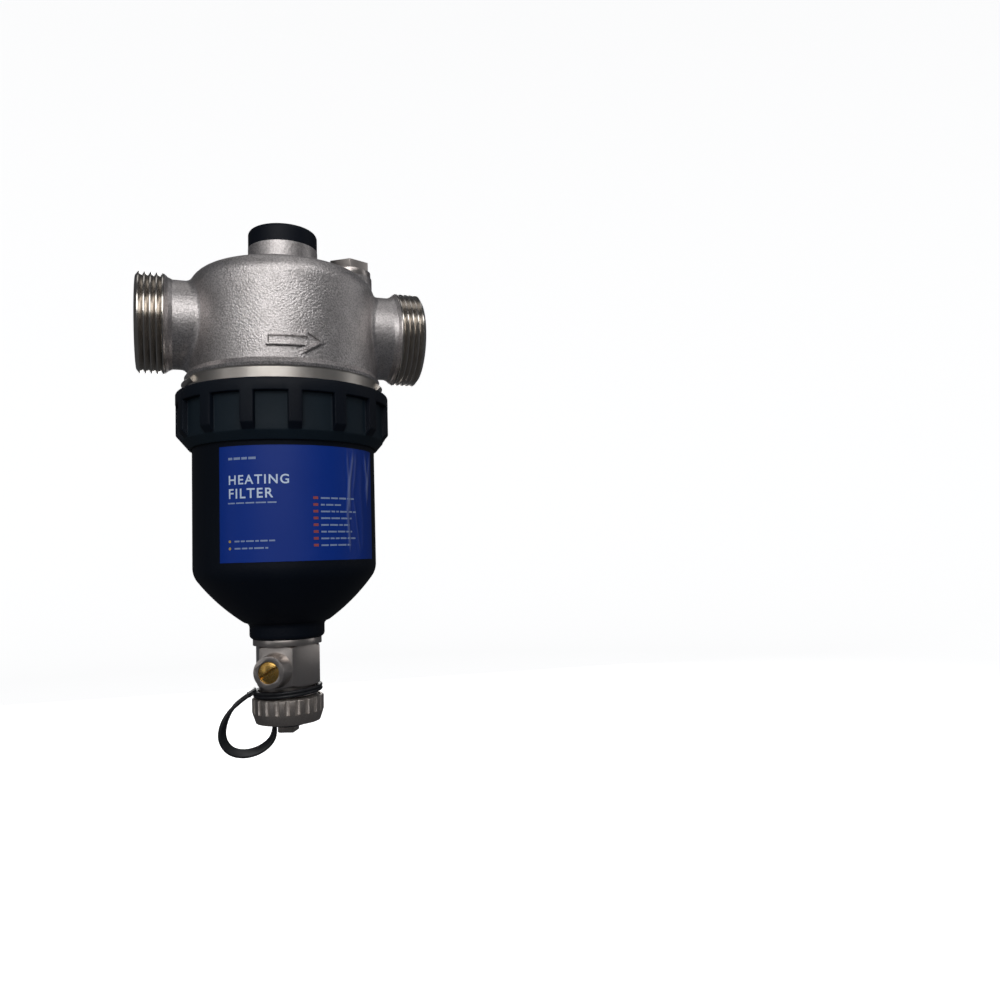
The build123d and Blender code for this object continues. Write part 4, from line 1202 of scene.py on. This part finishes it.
@dataclass
class Label:
    """The blue film round the bowl's front, its creases, a plain title and rows of plain marks."""

    radius: float = 38.5
    film: float = 0.12
    start: float = -137.5
    sweep: float = 107.5
    bottom: float = -101.3
    top: float = -55.4
    ink: float = 0.035
    most_lift: float = 0.55
    full_lift: float = 0.45
    columns: int = 220
    rows: int = 70
    strip: float = 1.2
    gap: float = 0.55
    capital_share: float = 0.70
    weight: float = 0.020

    def creases(self) -> list[Crease]:
        """Lists the folds near the film's right-hand edge.

        Returns:
            The folds.
        """
        return [
            Crease((57.6, 56.2, 54.6, 53.7, 54.4, 55.0), (-55.4, -99.0), 0.85, 0.32),
            Crease((53.9, 54.3, 55.0, 55.4), (-55.4, -84.0), 0.75, 0.22),
            Crease((59.4, 58.4, 56.6), (-55.4, -76.0), 1.00, 0.18),
            Crease((65.8, 66.4, 67.4, 66.3), (-56.0, -75.0), 0.85, 0.32),
            Crease((70.6, 69.2, 67.8, 66.9), (-55.4, -80.0), 0.90, 0.28),
            Crease((57.0, 59.2, 61.5), (-74.0, -100.5), 0.80, 0.16),
            Crease((63.0, 62.0, 63.4, 62.6), (-60.0, -100.0), 1.30, 0.12),
        ]

    def lift(self, u: float, v: float) -> float:
        """How far the film stands off the bowl at a point."""
        return min(self.most_lift, sum(crease.lift(u, v) for crease in self.creases()))

    def wrap(self, bm: bmesh.types.BMesh, off: float) -> None:
        """Wraps a flat mesh, drawn in millimetres across and up the label, round the bowl.

        Args:
            bm: The mesh.
            off: How far off the bowl it lies.
        """
        for vert in bm.verts:
            u, v, w = vert.co
            turn = math.radians(self.start) + u / self.radius
            r = (self.radius + off + w + self.lift(u, v)) * MM
            vert.co = (r * math.cos(turn), r * math.sin(turn), v * MM)

    def build_film(self, material: bpy.types.Material) -> None:
        """Makes the film from one grid, lifts its folds and gives it thickness.

        Args:
            material: Its material.
        """
        width = math.radians(self.sweep) * self.radius
        bm = bmesh.new()
        bmesh.ops.create_grid(bm, x_segments=self.columns, y_segments=self.rows, size=0.5)
        lift = bm.verts.layers.float.new("lift")
        for vert in bm.verts:
            u, v = (vert.co.x + 0.5) * width, self.bottom + (vert.co.y + 0.5) * (self.top - self.bottom)
            # The lift is kept on the film. Its material paints the creases paler there: partly lifted film,
            # partly a painted highlight.
            vert[lift] = self.lift(u, v) / self.full_lift
            vert.co = (u, v, 0.0)
        self.wrap(bm, self.film)
        bmesh.ops.recalc_face_normals(bm, faces=bm.faces)
        if sum(facing_out(face) for face in bm.faces) < 0:
            bmesh.ops.reverse_faces(bm, faces=bm.faces)
        rim = [e for e in bm.edges if e.is_boundary]
        grown = bmesh.ops.extrude_edge_only(bm, edges=rim)["geom"]
        for vert in (g for g in grown if isinstance(g, bmesh.types.BMVert)):
            scale = (self.radius + 0.01) * MM / vert.co.xy.length
            vert.co.x, vert.co.y = vert.co.x * scale, vert.co.y * scale
        bmesh.ops.recalc_face_normals(bm, faces=bm.faces)
        piece(bm, "label_film", material, "bowl", ["label"], 50.0)

    def build_title(self, text: str, u: float, v: float, height: float, spacing: float) -> bmesh.types.BMesh:
        """Draws one line of the plain title.

        Args:
            text: The words.
            u: The left end, across the label.
            v: The baseline.
            height: The capitals' height.
            spacing: The letters' spacing.

        Returns:
            The flat letters, cut into strips narrow enough to wrap.
        """
        data = bpy.data.curves.new("title", "FONT")
        data.body = text
        data.size = height / self.capital_share
        data.space_character = spacing
        data.offset = height * self.weight
        bm = bmesh.new()
        bm.from_mesh(meshed(linked("title", data)))
        bmesh.ops.translate(bm, verts=bm.verts, vec=(u, v, 0))
        right = max(vert.co.x for vert in bm.verts)
        for cut in range(int(u) + 1, int(right) + 1):
            slice_at(bm, (cut, 0, 0), (1, 0, 0))
        return bm

    def mark(self, bm: bmesh.types.BMesh, left: float, right: float, low: float, high: float) -> None:
        """Adds one flat mark, cut into strips narrow enough to wrap.

        Args:
            bm: The mesh.
            left: Its left end.
            right: Its right end.
            low: Its bottom.
            high: Its top.
        """
        count = max(1, math.ceil((right - left) / self.strip))
        verts = bmesh.ops.create_grid(bm, x_segments=count, y_segments=1, size=0.5)["verts"]
        for vert in verts:
            vert.co = (left + (vert.co.x + 0.5) * (right - left), low + (vert.co.y + 0.5) * (high - low), 0.0)

    def words(
        self, bm: bmesh.types.BMesh, left: float, right: float, v: float, height: float, seed: int
    ) -> None:
        """Fills a row with plain bars of uneven length, one for each word that it stands for.

        Args:
            bm: The mesh.
            left: The row's left end.
            right: Its right end.
            v: Its baseline.
            height: The bars' height.
            seed: Chooses their lengths.
        """
        draw = random.Random(seed)
        at = left
        while at < right - 0.6:
            end = min(right, at + draw.uniform(1.2, 4.2))
            self.mark(bm, at, end, v, v + height)
            at = end + self.gap

    def print_on(self, bm: bmesh.types.BMesh, name: str, tint: Tint) -> None:
        """Wraps flat marks on the film in one ink.

        Args:
            bm: The marks.
            name: The piece's name.
            tint: The ink.
        """
        self.wrap(bm, self.film + self.ink)
        bmesh.ops.recalc_face_normals(bm, faces=bm.faces)
        for face in bm.faces:
            if facing_out(face) < 0:
                face.normal_flip()
        piece(bm, name, tint.value.paint(), "bowl")

    def build(self, wardrobe: Wardrobe) -> None:
        """Makes the film, then prints it.

        Args:
            wardrobe: The finishes.
        """
        self.build_film(wardrobe["blue_label"])
        for number, (text, v, height) in enumerate((("HEATING", -70.6, 3.6), ("FILTER", -76.1, 3.8))):
            self.print_on(self.build_title(text, 4.4, v, height, 1.18), f"label_title_{number + 1}", Tint.PALE)
        fine = bmesh.new()
        self.words(fine, 4.5, 16.3, -60.9, 0.95, 3)
        self.words(fine, 4.3, 25.0, -78.3, 0.55, 5)
        self.words(fine, 7.1, 24.1, -93.3, 0.62, 7)
        self.words(fine, 7.1, 20.7, -96.1, 0.62, 9)
        ends = (57.5, 51.5, 58.6, 56.0, 54.6, 56.2, 58.2, 55.2)
        rows = [-76.8 - 2.69 * place for place in range(len(ends))]
        for place, (v, end) in enumerate(zip(rows, ends)):
            self.words(fine, 41.3, end, v, 0.68, 20 + place)
        self.print_on(fine, "label_fine_rows", Tint.DIM)
        chips = bmesh.new()
        for v in rows:
            self.mark(chips, 38.2, 40.2, v - 0.1, v + 0.95)
        self.print_on(chips, "label_row_chips", Tint.RED)
        dots = bmesh.new()
        for v in (-93.4, -96.2):
            disc = bmesh.ops.create_circle(dots, cap_ends=True, segments=20, radius=0.55)["verts"]
            bmesh.ops.translate(dots, verts=disc, vec=(5.0, v + 0.4, 0))
        self.print_on(dots, "label_row_dots", Tint.AMBER)


# === Head =============================================================================================


@dataclass
class FlowArrow:
    """The raised outline of the cast flow arrow on the barrel's front."""

    barrel: float = 40.0
    left: float = -11.3
    right: float = 11.4
    neck: float = 3.6
    middle: float = -13.6
    shaft: float = 2.3
    head: float = 4.7
    rim: float = 0.85
    plate_height: float = 0.63
    rim_height: float = 1.30
    front: float = -90.0
    sunk: float = 0.4
    slope: float = 0.35
    edge: float = 0.32

    def outline(self) -> list[Point2]:
        """Lists the arrow's corners.

        Returns:
            The corners, across and up the barrel.
        """
        low, high = self.middle - self.shaft, self.middle + self.shaft
        return [
            (self.left, low), (self.neck, low), (self.neck, self.middle - self.head),
            (self.right, self.middle),
            (self.neck, self.middle + self.head), (self.neck, high), (self.left, high),
        ]

    def build(self, wardrobe: Wardrobe) -> None:
        """Raises the arrow from its outline, sinks its middle and lays it on the barrel.

        Args:
            wardrobe: The finishes.
        """
        bm = bmesh.new()
        face = bm.faces.new([bm.verts.new((x, z, -self.sunk)) for x, z in self.outline()])
        grown = bmesh.ops.extrude_face_region(bm, geom=[face])["geom"]
        top = [g for g in grown if isinstance(g, bmesh.types.BMFace)]
        raised = list(dict.fromkeys(v for f in top for v in f.verts))
        bmesh.ops.translate(bm, verts=raised, vec=(0, 0, self.rim_height + self.sunk))
        bmesh.ops.inset_region(bm, faces=top, thickness=self.rim, depth=0.0, use_even_offset=True)
        inner = [f for f in top if f.is_valid]
        drop = self.plate_height - self.rim_height
        bmesh.ops.inset_region(bm, faces=inner, thickness=self.slope, depth=drop, use_even_offset=True)
        bmesh.ops.recalc_face_normals(bm, faces=bm.faces)
        soften(bm, self.edge, 30.0, 3)
        for cut in range(int(self.left), int(self.right) + 1):
            slice_at(bm, (cut, 0, 0), (1, 0, 0))
        for vert in bm.verts:
            turn = math.radians(self.front) + math.asin(vert.co.x / self.barrel)
            r = (self.barrel + vert.co.z) * MM
            vert.co = (r * math.cos(turn), r * math.sin(turn), vert.co.y * MM)
        bmesh.ops.recalc_face_normals(bm, faces=bm.faces)
        piece(bm, "flow_arrow_rim", wardrobe["cast_nickel"], "head", (), 50.0)


# === Drain ============================================================================================


@dataclass
class SpindleFace:
    """The brass spindle's dished and slotted end, which a screwdriver turns."""

    radius: float = 4.42
    start: float = 17.2
    rim: float = 19.05
    crown: float = 19.75
    slot: float = 1.2
    slot_depth: float = 1.3
    slot_turn: float = 33.0
    boss_turn: float = -120.0
    height: float = -146.6

    def build(self, wardrobe: Wardrobe) -> None:
        """Spins the end, cuts its slot and lays it in the boss.

        Args:
            wardrobe: The finishes.
        """
        profile = [(0.0, self.crown), (1.6, self.crown - 0.1), (3.1, self.crown - 0.36)]
        profile += [(self.radius - 0.25, self.rim), (self.radius, self.rim - 0.3)]
        profile += [(self.radius, self.start), (0.0, self.start)]
        bm = spun(profile, 48, closed=False)
        half = self.slot / 2 * MM
        for edge in (-half, half):
            slice_at(bm, (0, edge, 0), (0, 1, 0))
        sunk = [f for f in bm.faces if abs(f.calc_center_median().y) < half and f.normal.z > 0.5]
        grown = bmesh.ops.extrude_face_region(bm, geom=sunk)["geom"]
        bmesh.ops.delete(bm, geom=[f for f in sunk if f.is_valid and f not in grown], context="FACES_ONLY")
        for vert in (g for g in grown if isinstance(g, bmesh.types.BMVert)):
            vert.co.z = (self.rim - self.slot_depth) * MM
        bmesh.ops.remove_doubles(bm, verts=bm.verts, dist=0.004 * MM)
        bmesh.ops.recalc_face_normals(bm, faces=bm.faces)
        turn = math.radians(self.boss_turn)
        out = Vector((math.cos(turn), math.sin(turn), 0))
        side = Vector((-math.sin(turn), math.cos(turn), 0))
        slant = math.radians(self.slot_turn)
        along = side * math.cos(slant) + Vector((0, 0, math.sin(slant)))
        lay = Matrix((along, out.cross(along), out)).transposed()
        bmesh.ops.transform(bm, matrix=lay.to_4x4(), verts=bm.verts)
        bmesh.ops.translate(bm, verts=bm.verts, vec=(0, 0, self.height * MM))
        piece(bm, "drain_spindle_face", wardrobe["brass"], "drain_spindle", (), 30.0)


# === Dressing the CAD nodes ===========================================================================


class Dresser:
    """Gives the CAD nodes that stay their finishes, and softens the edges of copies of the sharper ones."""

    def __init__(self, wardrobe: Wardrobe) -> None:
        """Keeps the wardrobe."""
        self.wardrobe = wardrobe

    def dress(self) -> None:
        """Puts each node's finish in its slots."""
        for name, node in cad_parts.items():
            slots = node.material_slots
            for place in slots:
                base = place.material.name.split(".")[0] if place.material else ""
                if base in FINISHES:
                    place.material = self.wardrobe[base]
            LOG.info("%s keeps its shape in %s", name, [place.material.name for place in slots])

    def soften_node(self, name: str, body: str, slot: str, width: float, angle: float = 40.0) -> None:
        """Replaces a node with a copy whose sharp edges are rounded.

        Args:
            name: The node.
            body: Its body.
            slot: Its material slot.
            width: The rounding's width in millimetres.
            angle: Edges sharper than this many degrees are rounded.
        """
        bm = bmesh.new()
        bm.from_mesh(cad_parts[name].data)
        bmesh.ops.remove_doubles(bm, verts=bm.verts, dist=0.001 * MM)
        bmesh.ops.dissolve_limit(bm, angle_limit=math.radians(0.6), verts=bm.verts, edges=bm.edges)
        soften(bm, width, angle)
        piece(bm, name + "_softened", self.wardrobe[slot], body, [name], 36.0)


def main() -> None:
    """Builds the camera and the strap, the rest of the pieces, and the studio."""
    logging.basicConfig(level=logging.INFO, format="%(message)s")
    wardrobe = Wardrobe()
    studio = Studio()
    studio.set_camera()
    CapStrap().build(wardrobe)
    dresser = Dresser(wardrobe)
    dresser.dress()
    FlowArrow().build(wardrobe)
    SpindleFace().build(wardrobe)
    dresser.soften_node("drain_body", "bowl", "machined_nickel", 0.25)
    dresser.soften_node("vent_plug", "head", "machined_nickel", 0.30)
    dresser.soften_node("drain_cap", "drain_cap", "machined_nickel", 0.22)
    LockRing().build(wardrobe)
    Bowl().build(wardrobe)
    Label().build(wardrobe)
    studio.build()


if __name__ == "__main__":
    main()
